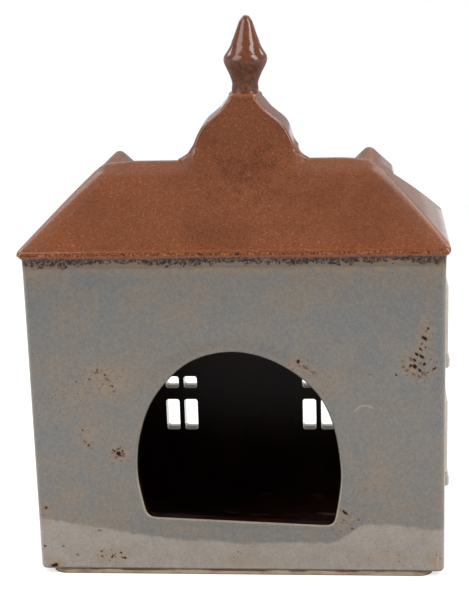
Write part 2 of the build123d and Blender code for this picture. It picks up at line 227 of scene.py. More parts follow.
class Skin:
    """A closed surface gathered from grids of points, welded where the grids meet."""

    def __init__(self):
        self.points = []
        self.normals = []
        self.quads = []
        self.worn = []
        self.count = 0

    def add(self, grid, turned=False, wraps=(False, False), normals=None, worn=0.0):
        """Adds a grid of points; turned grids face the other way, wrapped axes close on
        themselves. The last argument says how thin the glaze has run at each point: THIN where
        it is bare, and a higher mark where shade is painted near-black inside the house."""
        if normals is None:
            normals = grid_normals(grid, wraps)
        index = self.count + np.arange(grid.shape[0] * grid.shape[1]).reshape(grid.shape[:2])
        if wraps[0]:
            index = np.vstack([index, index[:1]])
        if wraps[1]:
            index = np.hstack([index, index[:, :1]])
        quads = np.stack([index[:-1, :-1], index[1:, :-1], index[1:, 1:], index[:-1, 1:]], axis=-1)
        self.quads.append(quads.reshape(-1, 4)[:, ::-1] if turned else quads.reshape(-1, 4))
        self.normals.append((-normals if turned else normals).reshape(-1, 3))
        self.points.append(grid.reshape(-1, 3))
        self.worn.append(np.broadcast_to(worn, grid.shape[:2]).reshape(-1))
        self.count += grid.shape[0] * grid.shape[1]

    def build(self, name, material, *nodes):
        """Welds the points, drops the corners that fell together, and makes the object that
        stands for the given nodes."""
        points = np.concatenate(self.points)
        normals = np.concatenate(self.normals)
        quads = np.concatenate(self.quads)
        keys = np.floor(points / WELD_DISTANCE + WELD_SHIFT).astype(np.int64)
        _, first, place = np.unique(keys, axis=0, return_index=True, return_inverse=True)
        corners = place.reshape(-1)[quads]
        fresh = corners != np.roll(corners, 1, axis=1)
        outline = np.sort(np.where(fresh, corners, -1), axis=1)
        _, twin, copies = np.unique(outline, axis=0, return_inverse=True, return_counts=True)
        whole = (fresh.sum(axis=1) >= 3) & (copies[twin.reshape(-1)] == 1)
        corners, fresh, quads = corners[whole], fresh[whole], quads[whole]
        totals = fresh.sum(axis=1)
        mesh = bpy.data.meshes.new(name)
        mesh.vertices.add(len(first))
        mesh.vertices.foreach_set("co", points[first].ravel())
        mesh.loops.add(int(totals.sum()))
        mesh.loops.foreach_set("vertex_index", corners[fresh].astype(np.int32))
        mesh.polygons.add(len(totals))
        mesh.polygons.foreach_set("loop_start", (np.cumsum(totals) - totals).astype(np.int32))
        mesh.polygons.foreach_set("use_smooth", np.ones(len(totals), dtype=bool))
        mesh.update(calc_edges=True)
        if mesh.validate():
            raise RuntimeError(f"the surface of {name} isn't sound")
        mesh.normals_split_custom_set(normals[quads][fresh])
        worn = mesh.attributes.new("worn", "FLOAT", "POINT")
        worn.data.foreach_set("value", np.concatenate(self.worn)[first].astype(np.float32))
        mesh.materials.append(material)
        piece = add_object(name, mesh)
        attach(piece, BODY)
        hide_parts(*nodes)
        return piece


def settle(points, normals, depth, size, seed):
    """Moves points inward along their normals by up to twice the depth, after a soft waver."""
    return points - normals * (depth * (1 + waver(points, size, seed)))[..., None]


class Ring:
    """Points round a rounded rectangle, in the order rear, right, front, left. Each side runs
    from the middle of one corner's bend to the middle of the next."""

    SIDES = (((-1, -1), (1, -1)), ((1, -1), (1, 1)), ((1, 1), (-1, 1)), ((-1, 1), (-1, -1)))

    def __init__(self, long_count, short_count, bend_count):
        square, heading, self.starts = [], [], [0]
        for side, (begin, end) in enumerate(self.SIDES):
            begin, end = np.array(begin, float), np.array(end, float)
            outward = (begin + end) / 2
            flat = np.linspace(0, 1, long_count if side % 2 == 0 else short_count)[:, None]
            square += [np.repeat(begin[None], bend_count, 0), begin + (end - begin) * flat]
            square += [np.repeat(end[None], bend_count - 1, 0)]
            angle = math.atan2(outward[1], outward[0])
            turn = np.linspace(-math.pi / 4, 0, bend_count + 1)[:-1]
            bends = np.concatenate([turn, np.zeros(len(flat)), -turn[::-1][:-1]])
            heading.append(np.stack([np.cos(angle + bends), np.sin(angle + bends)], axis=-1))
            self.starts.append(self.starts[-1] + len(bends))
        self.square = np.concatenate(square)
        self.heading = np.concatenate(heading)
        self.count = len(self.square)

    def plan(self, half_x, half_y, radius):
        """Points of one ring for each row of sizes: the corner's or side's place on the inner
        rectangle plus the radius along the outward heading."""
        half = np.stack(np.broadcast_arrays(half_x, half_y), axis=-1)[..., None, :]
        radius = np.asarray(radius)[..., None, None]
        return (half - radius) * self.square + radius * self.heading

    def side(self, number):
        """Indices of one side, both ends included."""
        return np.arange(self.starts[number], self.starts[number + 1] + 1) % self.count

    def bends(self):
        """1 at the middle of each corner's bend, falling to 0 along the sides."""
        return (2 * np.abs(self.heading[:, 0] * self.heading[:, 1])) ** 2


def stack(ring, half_x, half_y, radius, height):
    """Rings one above the other; the height may change round each ring."""
    plan = ring.plan(np.asarray(half_x), np.asarray(half_y), np.asarray(radius))
    height = np.broadcast_to(np.asarray(height).reshape(len(plan), -1), plan.shape[:2])
    return np.concatenate([plan, height[..., None]], axis=-1)


# Shader making
class Wire:
    """A socket of a material. Python's operators on it add the Math nodes that work them out."""

    def __init__(self, recipe, socket):
        self.recipe = recipe
        self.socket = socket

    def math(self, operation, *values):
        inputs = {place: value for place, value in enumerate(values)}
        return self.recipe.node("ShaderNodeMath", {"operation": operation}, inputs)

    def __add__(self, other):
        return self.math("ADD", self, other)

    def __sub__(self, other):
        return self.math("SUBTRACT", self, other)

    def __rsub__(self, other):
        return self.math("SUBTRACT", other, self)

    def __mul__(self, other):
        return self.math("MULTIPLY", self, other)

    def __truediv__(self, other):
        return self.math("DIVIDE", self, other)

    def __pow__(self, other):
        return self.math("POWER", self, other)

    def __neg__(self):
        return self.math("MULTIPLY", self, -1.0)

    def __abs__(self):
        return self.math("ABSOLUTE", self)

    def least(self, other):
        return self.math("MINIMUM", self, other)

    def most(self, other):
        return self.math("MAXIMUM", self, other)

    def beside(self, output):
        """Another output of the same node."""
        return Wire(self.recipe, self.socket.node.outputs[output])

    def step(self, low, high):
        """Smooth step from 0 at low to 1 at high, or down where high is the smaller."""
        if isinstance(low, (int, float)) and isinstance(high, (int, float)) and low > high:
            return 1 - self.step(high, low)
        settings = {"interpolation_type": "SMOOTHSTEP"}
        inputs = {"Value": self, "From Min": low, "From Max": high, "To Min": 0.0, "To Max": 1.0}
        return self.recipe.node("ShaderNodeMapRange", settings, inputs)

    def between(self, low, rise, fall, high):
        """1 from rise to fall, and smoothly down to 0 at low and at high."""
        return self.step(low, rise) * self.step(high, fall)


class Recipe:
    """The nodes of a material or of the world under construction: they come from one
    method, their maths from Wires."""

    def __init__(self, owner, coordinates="Object"):
        owner.use_nodes = True
        self.tree = owner.node_tree
        self.tree.nodes.clear()
        self.place = self.node("ShaderNodeTexCoord", output=coordinates)

    def node(self, kind, settings=None, inputs=None, output=0):
        """Adds a node, sets its settings first and its sockets' values or links after."""
        node = self.tree.nodes.new(kind)
        for key, value in (settings or {}).items():
            setattr(node, key, value)
        for key, value in (inputs or {}).items():
            if isinstance(value, Wire):
                self.tree.links.new(value.socket, node.inputs[key])
            else:
                node.inputs[key].default_value = value
        return Wire(self, node.outputs[output])

    def end(self, surface, kind="ShaderNodeOutputMaterial"):
        """Closes the recipe with its output node."""
        self.tree.links.new(surface.socket, self.tree.nodes.new(kind).inputs["Surface"])

    def vector(self, operation, *values):
        inputs = {place: value for place, value in enumerate(values)}
        return self.node("ShaderNodeVectorMath", {"operation": operation}, inputs)

    def length(self, vector):
        return self.node("ShaderNodeVectorMath", {"operation": "LENGTH"}, {0: vector}, "Value")

    def split(self, vector):
        """The three parts of a vector."""
        first = self.node("ShaderNodeSeparateXYZ", inputs={0: vector})
        return first, first.beside("Y"), first.beside("Z")

    def axes(self):
        """The three coordinates of the surface, in millimetres."""
        return self.split(self.vector("MULTIPLY", self.place, (1 / MM, 1 / MM, 1 / MM)))

    def worn(self):
        """How thin the glaze has run, and where shade is painted inside, from the grids."""
        return self.node("ShaderNodeAttribute", {"attribute_name": "worn"}, output="Fac")

    def ray(self, kind):
        """1 for rays of one kind."""
        return self.node("ShaderNodeLightPath", output=f"Is {kind} Ray")

    def noise(self, size, detail=3.0, roughness=0.55, shift=0.0, stretch=(1.0, 1.0, 1.0), warp=0.0):
        """Noise from 0 to 1 whose largest features are about the size in millimetres; a
        stretch below 1 lengthens them along an axis."""
        grain = tuple(value / (size * MM) for value in stretch)
        moved = self.vector("MULTIPLY", self.place, grain)
        moved = self.vector("ADD", moved, (shift, shift * 1.7, shift * 0.6))
        inputs = {"Vector": moved, "Scale": 1.0, "Detail": detail, "Roughness": roughness, "Distortion": warp}
        return self.node("ShaderNodeTexNoise", inputs=inputs)

    def sway(self, swing, size, detail, roughness, shift):
        """Noise round 0 that reaches half the swing either way."""
        return self.noise(size, detail, roughness, shift) * swing - swing / 2

    def cells(self, size, shift=0.0, randomness=1.0):
        """Distance to the nearest of scattered points, one cell being about the size in
        millimetres across, and a value of its own for each cell."""
        moved = self.vector("MULTIPLY", self.place, (1 / (size * MM),) * 3)
        moved = self.vector("ADD", moved, (shift, shift * 0.7, shift * 1.3))
        inputs = {"Vector": moved, "Scale": 1.0, "Randomness": randomness}
        distance = self.node("ShaderNodeTexVoronoi", inputs=inputs)
        return distance, self.split(distance.beside("Color"))[0]

    def spots(self, size, share, shift, sharp, radius):
        """Round spots in a share of the cells, with radii of their own up to the radius."""
        distance, chance = self.cells(size, shift)
        there = (share - chance).step(0.0, 0.02)
        reach = chance / share * radius * 0.6 + radius * 0.4
        return (reach - distance).step(0.0, sharp) * there

    def blend(self, factor, first, second):
        """First colour where the factor is 0, second where it is 1."""
        inputs = {0: factor, 6: self.colour(first), 7: self.colour(second)}
        return self.node("ShaderNodeMix", {"data_type": "RGBA"}, inputs, output=2)

    def tint(self, colour, amount):
        """Colour times a grey amount."""
        settings = {"data_type": "RGBA", "blend_type": "MULTIPLY"}
        grey = self.node("ShaderNodeCombineXYZ", inputs={0: amount, 1: amount, 2: amount})
        return self.node("ShaderNodeMix", settings, {0: 1.0, 6: self.colour(colour), 7: grey}, output=2)

    @staticmethod
    def colour(value):
        return value if isinstance(value, Wire) else (*value, 1.0)

    def bump(self, height, depth, normal=None):
        """Normal of a height from 0 to 1 that stands for a depth in millimetres."""
        inputs = {"Height": height, "Distance": depth * MM, "Strength": 1.0}
        if normal is not None:
            inputs["Normal"] = normal
        return self.node("ShaderNodeBump", inputs=inputs)

    def glossy(self, colour, roughness, normal=None, ior=1.5, coat=0.0, coat_roughness=0.05, coat_ior=1.6):
        """Shader of a glossy surface."""
        inputs = {
            "Base Color": self.colour(colour),
            "Roughness": roughness,
            "IOR": ior,
            "Coat Weight": coat,
            "Coat Roughness": coat_roughness,
            "Coat IOR": coat_ior,
        }
        if normal is not None:
            inputs["Normal"] = normal
        return self.node("ShaderNodeBsdfPrincipled", inputs=inputs)

    def mix(self, factor, first, second):
        """First shader where the factor is 0, second where it is 1."""
        return self.node("ShaderNodeMixShader", inputs={0: factor, 1: first, 2: second})


def colours():
    return bpy.context.scene.tealight_glazes


def shape():
    return bpy.context.scene.tealight_shape


# Glazes, whose sizes, places and levels are in millimetres
FOOT = WALL_BASE / MM
EAVES = WALL_TOP / MM
RIDGE = RIDGE_TOP / MM
CREST = CREST_TOP / MM
INSIDE_X = INNER_HALF_WIDTH / MM
INSIDE_Y = INNER_HALF_DEPTH / MM
HALF_SLAB = 2.5
HIP_WEAR = 9.0
MARK_WAVER = 1.6

# Edge of the paler band along the rear wall's foot
BAND_HEIGHT = 14.8
BAND_RISE = 8.0
BAND_LEFT_REACH = 70.0
BAND_RIGHT_RISE = (36.0, 52.0)
BAND_FALL = 2.5
BAND_RIGHT_FALL = (58.0, 82.0)
BAND_SOFTNESS = 0.9

# Heights between which the rim's bare line, partly a painted highlight, comes in, and the tan drip under the
# sill
RIM_LINE = (70.0, 34.0)
DRIP_X = -22.0
DRIP_Z = 20.0
DRIP_REACH = 11.0
DRIP_HEIGHT = 2.4

# Oval of worm-like mottling below the crest
WORM_X = 4.0
WORM_DROP = 3.3
WORM_REACH = 24.0
WORM_RISE = 14.0

# Single marks and halos of the rear wall
IRON_MARKS = (
    # x, z, half length and half width in millimetres, tilt in degrees
    (75.0, 101.8, 1.2, 0.7, -42),
    (76.4, 105.6, 0.5, 0.4, 60),
    (73.6, 97.2, 0.6, 0.45, -20),
    (75.6, 98.0, 0.4, 0.35, 0),
    (72.0, 95.1, 1.0, 0.5, -48),
    (73.9, 94.2, 1.1, 0.6, -52),
    (71.2, 92.7, 0.7, 0.6, -30),
    (69.6, 90.3, 0.7, 0.6, 20),
    (71.3, 90.1, 1.0, 0.8, -20),
    (73.1, 88.6, 1.0, 0.5, -42),
    (74.9, 90.9, 0.7, 0.4, 60),
    (78.9, 89.3, 0.9, 0.4, 38),
    (76.4, 87.6, 0.4, 0.35, 0),
    (64.2, 86.8, 0.5, 0.35, 0),
    (66.6, 92.4, 0.4, 0.3, 0),
    (43.2, 28.0, 1.5, 0.5, -35),
    (48.7, 24.8, 0.5, 0.35, 10),
    (46.2, 21.1, 0.5, 0.4, 0),
    (-77.7, 3.8, 1.5, 0.8, 10),
    (-57.4, 10.2, 0.6, 0.4, 20),
    (-57.5, 8.1, 0.5, 0.35, 0),
    (-53.0, 7.9, 0.9, 0.4, 45),
    (-49.5, 9.6, 0.5, 0.4, 0),
    (-48.2, 7.4, 1.0, 0.35, -10),
    (-79.8, 29.4, 0.7, 0.5, 80),
    (-81.2, 12.4, 0.5, 0.5, 0),
    (-48.4, 53.4, 1.0, 0.7, 20),
    (-50.6, 54.6, 0.5, 0.4, 0),
    (-60.5, 56.8, 0.5, 0.4, 0),
    (-62.6, 63.4, 0.4, 0.4, 0),
    (25.5, 92.5, 0.7, 0.55, -40),
    (-52.2, 86.8, 0.5, 0.4, 40),
    (-55.4, 88.8, 0.45, 0.35, 0),
    (-58.8, 85.0, 0.4, 0.35, 0),
    (-63.9, 84.2, 0.4, 0.35, 0),
    (-49.6, 82.2, 0.45, 0.35, 0),
    (-49.9, 54.3, 0.60, 0.32, 60),
    (-46.9, 54.5, 0.75, 0.32, 75),
    (-47.9, 52.5, 0.70, 0.30, 10),
    (-48.3, 55.3, 0.50, 0.28, 30),
    (-46.1, 53.1, 0.50, 0.25, 120),
)
RUST_MARKS = (
    # The same columns, and so for the pale marks
    (74.0, 99.3, 0.7, 0.5, 0),
    (69.8, 93.1, 1.3, 0.6, -45),
    (73.4, 91.4, 0.8, 0.6, 0),
    (74.9, 87.0, 1.4, 0.7, -50),
    (68.2, 88.5, 1.0, 0.6, 10),
    (66.8, 90.1, 0.9, 0.5, 30),
    (70.8, 87.0, 1.0, 0.6, -20),
    (73.1, 85.8, 1.0, 0.6, -60),
    (77.4, 93.0, 0.7, 0.4, 50),
    (38.0, 20.6, 0.6, 0.4, 0),
    (41.5, 19.6, 0.5, 0.4, 0),
    (-73.6, 12.3, 0.8, 0.5, 0),
    (-67.6, 8.6, 0.7, 0.4, 0),
    (-57.8, 19.4, 0.9, 0.5, 0),
    (-46.6, 52.4, 1.0, 0.7, -30),
    (-49.4, 51.6, 0.9, 0.6, 0),
    (-62.0, 58.4, 0.8, 0.5, 0),
    (-55.6, 88.0, 0.9, 0.5, 30),
    (-51.5, 85.2, 1.0, 0.5, -30),
    (-49.0, 80.0, 0.8, 0.5, 0),
    (28.6, 89.6, 1.6, 0.5, -30),
    (31.2, 87.6, 1.0, 0.5, -20),
    (54.0, 87.0, 0.8, 0.4, 0),
    (-51.0, 53.6, 0.70, 0.40, 20),
    (-47.5, 56.0, 0.90, 0.40, 40),
    (-46.5, 53.8, 1.00, 0.50, 80),
    (-49.3, 54.9, 0.90, 0.45, 60),
)
PALE_MARKS = (
    (48.7, 72.5, 1.5, 0.40, 48),
    (50.7, 73.8, 1.5, 0.45, 16),
    (53.4, 73.5, 1.9, 0.45, -24),
    (80.8, 6.6, 4.0, 0.45, 90),
)
RUST_HALOS = (
    # x, z, half width, half height in millimetres, strength
    (72.5, 91.5, 9.0, 10.0, 1.0),
    (76.0, 104.0, 5.0, 9.0, 0.8),
    (-77.5, 4.5, 6.0, 5.0, 0.9),
    (-53.0, 8.5, 10.0, 5.0, 0.7),
    (-52.0, 84.5, 12.0, 9.0, 0.85),
    (-66.0, 80.0, 12.0, 10.0, 0.6),
    (-49.0, 53.0, 6.0, 5.0, 1.0),
    (-62.0, 60.0, 7.0, 7.0, 0.7),
    (-68.0, 36.0, 9.0, 7.0, 0.5),
    (27.5, 90.5, 8.0, 5.0, 0.8),
    (37.0, 84.0, 8.0, 6.0, 0.5),
    (44.0, 24.5, 10.0, 7.0, 0.65),
    (56.0, 44.0, 8.0, 12.0, 0.4),
    (79.0, 6.5, 5.0, 8.0, 0.8),
    (60.0, 8.0, 12.0, 5.0, 0.5),
    (-80.5, 26.0, 4.0, 9.0, 0.7),
    (0.0, 7.0, 22.0, 5.0, 0.45),
)


def marks(recipe, place, entries):
    """Least distance to a set of slanted ellipses on the rear wall, 1 on their outlines."""
    nearest = None
    for x, z, half_length, half_width, tilt in entries:
        inputs = {
            "Vector": place,
            "Location": (x * MM, 0.0, z * MM),
            "Rotation": (0.0, -math.radians(tilt), 0.0),
            "Scale": (half_length * MM, 1.0, half_width * MM),
        }
        distance = recipe.length(recipe.node("ShaderNodeMapping", {"vector_type": "TEXTURE"}, inputs))
        nearest = distance if nearest is None else nearest.least(distance)
    return nearest


def patch_mask(x, z, patches):
    """Greatest of a set of soft elliptic patches on the rear wall."""
    total = None
    for centre_x, centre_z, half_x, half_z, strength in patches:
        across = (x - centre_x) / half_x
        up = (z - centre_z) / half_z
        patch = (1 - (across * across + up * up)).most(0.0) * strength
        total = patch if total is None else total.most(patch)
    return total


def rear_mask(y):
    """1 on the rear wall, 0 on the others."""
    return y.step(2.0 - INSIDE_Y, -INSIDE_Y)


def chamber_mask(x, y):
    """1 on the inside of the house."""
    inside_x = abs(x).step(INSIDE_X + 0.4, INSIDE_X + 0.1)
    inside_y = abs(y).step(INSIDE_Y + 0.4, INSIDE_Y + 0.1)
    return inside_x * inside_y


def band_line(x):
    """Height of the paler band's edge: a curved rise to the left, a step up right of the
    opening and a slow fall to the right corner."""
    left = ((-x).most(0.0) / BAND_LEFT_REACH) ** 1.6 * BAND_RISE
    return left + BAND_HEIGHT + x.step(*BAND_RIGHT_RISE) * BAND_RISE - x.step(*BAND_RIGHT_FALL) * BAND_FALL


def wall_colour(recipe, x, y, z):
    """Wall glaze: blue-grey clouds and beige thin places, a paler band by the foot, iron
    and rust marks with tan halos, and a brown line where the glaze ends at the foot. Gives
    the colour and where it is iron."""
    glaze = colours()
    cloud = recipe.noise(28.0, detail=4.0, roughness=0.6, shift=3.1, stretch=(1.0, 1.0, 0.8), warp=0.4)
    drift = recipe.noise(7.0, detail=3.0, roughness=0.6, shift=9.4)
    grain = recipe.noise(1.9, detail=2.0, roughness=0.65, shift=5.2)
    fine = recipe.noise(0.8, detail=2.0, roughness=0.7, shift=2.2)
    low = z.step(EAVES - 24.2, EAVES - 56.2)
    warmth = (cloud * 0.60 + drift * 0.26 + grain * 0.24 + low * 0.05).step(0.38, 0.76)
    base = recipe.blend(warmth, glaze.wall_blue, glaze.wall_beige)
    wave = recipe.sway(5.0, size=26.0, detail=2.0, roughness=0.5, shift=1.3)
    ripple = recipe.sway(2.4, size=4.0, detail=2.0, roughness=0.5, shift=7.3)
    band = (z - band_line(x) - wave - ripple).step(BAND_SOFTNESS, -BAND_SOFTNESS)
    paler = recipe.blend(drift.step(0.35, 0.7), glaze.wall_band, glaze.band_grey)
    base = recipe.blend(band * 0.85, base, paler)
    base = recipe.tint(base, grain * 0.24 + fine * 0.70 + 0.54 - low * 0.08 + band * 0.11)
    rear = rear_mask(y)
    base = rust_stains(recipe, base, patch_mask(x, z, RUST_HALOS) * rear, drift, grain, fine)
    base, iron = wall_marks(recipe, base, rear)
    foot = (z - ripple * 0.25).step(FOOT + 1.4, FOOT + 0.7)
    base = recipe.blend(foot * 0.9, base, glaze.foot_brown_and_contact_shadow)
    return wall_rim(recipe, base, x, z, rear, drift, grain), iron


def rust_stains(recipe, base, halo, drift, grain, fine):
    """Tan stains, rust specks and fine iron pits, which are thickest in the halos."""
    glaze = colours()
    scatter = recipe.noise(16.0, detail=2.0, roughness=0.5, shift=6.6).step(0.48, 0.70)
    mottle = (drift * 0.4 + grain * 0.45 + fine * 0.45).step(0.50, 0.74)
    stain = (halo * 1.3 + scatter * 0.18).least(1.0) * mottle
    base = recipe.blend(stain * 0.62, base, glaze.tan)
    near = (halo * 1.5 + scatter * 0.35).least(1.0)
    specks = recipe.spots(1.5, share=0.50, shift=4.0, sharp=0.12, radius=0.34) * near
    dots = recipe.spots(2.6, share=0.10, shift=8.0, sharp=0.1, radius=0.2) * 0.6
    base = recipe.blend(specks.most(dots).least(0.85), base, glaze.rust)
    pits = recipe.spots(1.3, share=0.16, shift=27.0, sharp=0.1, radius=0.30) * halo.step(0.35, 0.7)
    return recipe.blend(pits * 0.9, base, glaze.iron)


def wall_marks(recipe, base, rear):
    """The single iron, rust and pale marks of the rear wall. A noise shifts the places that
    they are measured from, so that their outlines waver. Gives the colour and where it is
    iron."""
    glaze = colours()
    spread = recipe.noise(1.1, detail=2.0, roughness=0.6, shift=17.0).beside("Color")
    spread = recipe.vector("SUBTRACT", spread, (0.5, 0.5, 0.5))
    spread = recipe.vector("MULTIPLY", spread, (MARK_WAVER * MM, MARK_WAVER * MM, MARK_WAVER * MM))
    place = recipe.vector("ADD", recipe.vector("MULTIPLY", recipe.place, (1.0, 0.0, 1.0)), spread)
    rust = marks(recipe, place, RUST_MARKS).step(1.35, 0.55) * rear
    distance = marks(recipe, place, IRON_MARKS)
    base = recipe.blend(distance.step(2.1, 1.0) * rear * 0.6, base, glaze.rust_ring)
    base = recipe.blend(rust * 0.85, base, glaze.rust)
    iron = distance.step(1.15, 0.7) * rear
    base = recipe.blend(iron, base, glaze.iron)
    pale = marks(recipe, place, PALE_MARKS).step(1.5, 0.4) * rear
    return recipe.blend(pale * 0.28, base, glaze.cream), iron


def wall_rim(recipe, base, x, z, rear, drift, grain):
    """Thin cream line where the glaze has drawn back from the opening's rim, partly a painted
    highlight and strongest low down, with a tan drip under the sill."""
    glaze = colours()
    low = z.step(*RIM_LINE) * 0.75 + 0.15
    bare = recipe.worn().least(1.0) * low * (drift * 0.9 + grain * 0.9 - 0.05).least(1.0)
    drip = (1 - abs((x - DRIP_X) / DRIP_REACH) ** 2).most(0.0)
    drip = drip * (DRIP_HEIGHT - abs(z - DRIP_Z)).step(0.0, 1.4) * rear * grain.step(0.35, 0.6)
    base = recipe.blend(drip * 0.3, base, glaze.tan)
    # The cream line: glaze drawn back from the rim, with a painted highlight in it
    return recipe.blend(bare.step(0.26, 0.65) * 0.5, base, glaze.bare_rim_and_highlight)


def crest_worms(recipe, x, z):
    """Worm-like mottling in an oval by the crest's foot: the lines along which a noise is
    near its middle, let through in places by a slower one."""
    winding = recipe.noise(2.2, detail=2.0, roughness=0.6, shift=24.0, warp=1.2)
    worms = (1 - abs(winding * 2.0 - 1.0) * 5.0).most(0.0)
    across = abs((x - WORM_X) / WORM_REACH) ** 2
    up = abs((z - (RIDGE - WORM_DROP)) / WORM_RISE) ** 2
    near = (1 - across - up).most(0.0) ** 0.5
    gate = recipe.noise(6.0, detail=2.0, roughness=0.5, shift=63.0).step(0.45, 0.6)
    return worms * near * gate


def roof_colour(recipe, x, z):
    """Roof glaze: terracotta brown, mottled darker, with orange and pale flecks near the
    eaves, orange where it thins over the edges and worm-like dark mottling by the crest."""
    glaze = colours()
    cloud = recipe.noise(24.0, detail=4.0, roughness=0.6, shift=1.7)
    grain = recipe.noise(1.5, detail=3.0, roughness=0.75, shift=3.9)
    fine = recipe.noise(0.7, detail=2.0, roughness=0.7, shift=13.0)
    dark = (cloud * 0.42 + grain * 0.62).step(0.42, 0.72)
    base = recipe.blend(dark * 0.72, glaze.roof_brown, glaze.roof_dark)
    low = z.step(EAVES + 9.8, EAVES + 0.8)
    fleck = recipe.noise(0.9, detail=2.0, roughness=0.7, shift=8.8).step(0.53, 0.66)
    base = recipe.blend(fleck * (low * 0.6 + 0.10), base, glaze.roof_orange)
    base = recipe.blend(crest_worms(recipe, x, z) * 0.42, base, glaze.iron)
    pale = recipe.noise(0.9, detail=2.0, roughness=0.6, shift=71.0).step(0.57, 0.68) * cloud.step(0.62, 0.42)
    base = recipe.blend(pale * 0.5, base, glaze.roof_pale)
    base = recipe.tint(base, fine * 1.3 + grain * 0.4 + 0.10)
    pits = recipe.spots(1.9, share=0.16, shift=11.0, sharp=0.12, radius=0.24)
    base = recipe.blend(pits * 0.55, base, glaze.roof_dark)
    light = recipe.spots(1.6, share=0.18, shift=23.0, sharp=0.12, radius=0.18)
    base = recipe.blend(light * (low * 0.6 + 0.4) * 0.8, base, glaze.roof_speck)
    brink = z.step(EAVES + 2.4, EAVES - 0.2)
    crumbs = recipe.noise(1.2, detail=3.0, roughness=0.75, shift=61.0)
    base = recipe.blend(crumbs.step(0.53, 0.60) * brink * 0.8, base, glaze.iron)
    base = recipe.blend(crumbs.step(0.46, 0.40) * brink * 0.8, base, glaze.eave_crumb)
    base = finial_dusk(recipe, base, z, (grain * 0.8 + fine * 0.6).step(0.55, 0.85))
    thin = recipe.worn() * (grain * 0.9 + cloud * 0.5 + 0.1)
    return recipe.blend(thin.step(0.25, 0.85) * 0.8, base, glaze.roof_orange)


def finial_dusk(recipe, base, z, mottle):
    """Darker up the crest, and mottled darker round the finial's stem."""
    glaze = colours()
    dusk = z.step(RIDGE + 22.0, CREST + 2.0)
    base = recipe.blend(dusk * 0.15, base, glaze.roof_dark)
    stem = dusk * z.step(CREST + 16.0, CREST + 11.0) * 0.55 + dusk * 0.15
    return recipe.blend(stem * mottle, base, glaze.iron)


def eave_line(recipe, z):
    """1 where the roof glaze has run over, 0 below its uneven edge on the eaves."""
    long_wave = recipe.sway(2.4, size=34.0, detail=2.0, roughness=0.5, shift=12.1)
    short_wave = recipe.sway(3.4, size=1.8, detail=2.0, roughness=0.7, shift=4.4)
    return (z - long_wave - short_wave).step(EAVES - 1.4, EAVES - 0.9)


def eave_crumbs(recipe, base, z):
    """Dull cove in a darker brownish tone, part thin glaze and part painted shade under the
    eaves, with brown-black crumbs under the roof glaze's edge and a tan fringe below. Gives the
    colour and how far the crumbs take the gloss away."""
    glaze = colours()
    level = z + recipe.sway(3.0, size=18.0, detail=3.0, roughness=0.6, shift=18.0)
    crumb = recipe.noise(2.1, detail=3.0, roughness=0.7, shift=15.5)
    fringe = level.step(EAVES - 9.2, EAVES - 6.7) * crumb.step(0.40, 0.60)
    stained_and_shaded = recipe.blend(fringe * 0.6, base, glaze.tan)
    # The cove's tone: thin brownish glaze, darkened as painted shade under the eaves
    stained_and_shaded = recipe.blend(level.step(EAVES - 6.4, EAVES - 4.8) * 0.6, stained_and_shaded, glaze.cove)
    thick = recipe.noise(26.0, detail=2.0, roughness=0.5, shift=18.0).step(0.36, 0.60) * 0.14
    reach = ((level - (EAVES - 5.6)) / 3.0).least(1.0)
    crumbs = (crumb + reach * 0.32 + thick - 0.24).step(0.50, 0.57) * level.step(EAVES - 6.6, EAVES - 5.2)
    bitty = recipe.noise(0.8, detail=2.0, roughness=0.7, shift=19.5).step(0.30, 0.62)
    crust = crumbs * bitty
    return recipe.blend(crust, stained_and_shaded, recipe.blend(bitty, glaze.rust, glaze.iron)), crust * 0.35


def eave_edge(recipe, roof, below, z):
    """Roof glaze over what lies below its uneven edge, with orange crumbs along it."""
    over = eave_line(recipe, z)
    broken = recipe.noise(1.0, detail=2.0, roughness=0.6, shift=21.0).step(0.42, 0.58)
    edge = (1 - abs(over * 2.0 - 1.0)) * broken
    return recipe.blend(edge * 0.8, recipe.blend(over, below, roof), colours().roof_orange)


def dull_edges(x, y, z):
    """1 along the hips and round the crest's foot, where the glaze is thin and dull, and
    less than half of that over the side slopes."""
    side = (EAVE_HALF_WIDTH / MM - abs(x)) * SIDE_PITCH
    front = (EAVE_HALF_DEPTH / MM - abs(y)) * FRONT_PITCH
    hip = (1.0 - abs(side - front) / HIP_WEAR).most(0.0) ** 0.7 * z.step(EAVES + 0.6, EAVES + 3.3)
    flank = (front - side).step(2.0, 8.0) * z.between(EAVES + 1.8, EAVES + 5.8, RIDGE, RIDGE + 2.0) * 0.42
    reach = CREST_HALF_WIDTH / MM
    foot = abs(x - CREST_MIDDLE / MM).step(reach - 9.0, reach - 5.0)
    foot = foot * z.between(RIDGE - 7.0, RIDGE - 3.0, RIDGE + 9.0, RIDGE + 13.0)
    return hip.most(flank).most(foot)


def inner_roof_mask(x, y, z):
    """1 under the middle of the roof slabs' thickness."""
    side = (INSIDE_X + HALF_SLAB - abs(x)) * SIDE_PITCH + EAVES - z
    front = (INSIDE_Y + HALF_SLAB - abs(y)) * FRONT_PITCH + EAVES - z
    return side.step(-0.1, 0.1) * front.step(-0.1, 0.1)


def glaze_bump(recipe, ripple_depth, grain_depth=0.02):
    """Slow ripples and fine orange peel of a thick glaze."""
    normal = recipe.bump(recipe.noise(11.0, detail=2.0, roughness=0.5, shift=30.0), ripple_depth)
    return recipe.bump(recipe.noise(1.6, detail=2.0, roughness=0.6, shift=33.0), grain_depth, normal)


def iron_and_painted_shade(recipe, inside, shell):
    """The shell, and where inside is 1 a dull, near-black glaze streaked browner: painted shade inside the
    house and in the opening's sleeve, and the dark of iron marks and eave crumbs.
    """
    streak = recipe.noise(14.0, detail=3.0, roughness=0.6, shift=90.0, stretch=(1.0, 1.0, 0.5))
    dark = recipe.blend(streak.step(0.35, 0.75), colours().chamber, colours().chamber_streak)
    return recipe.mix(inside, shell, recipe.glossy(dark, 0.35, ior=1.22))


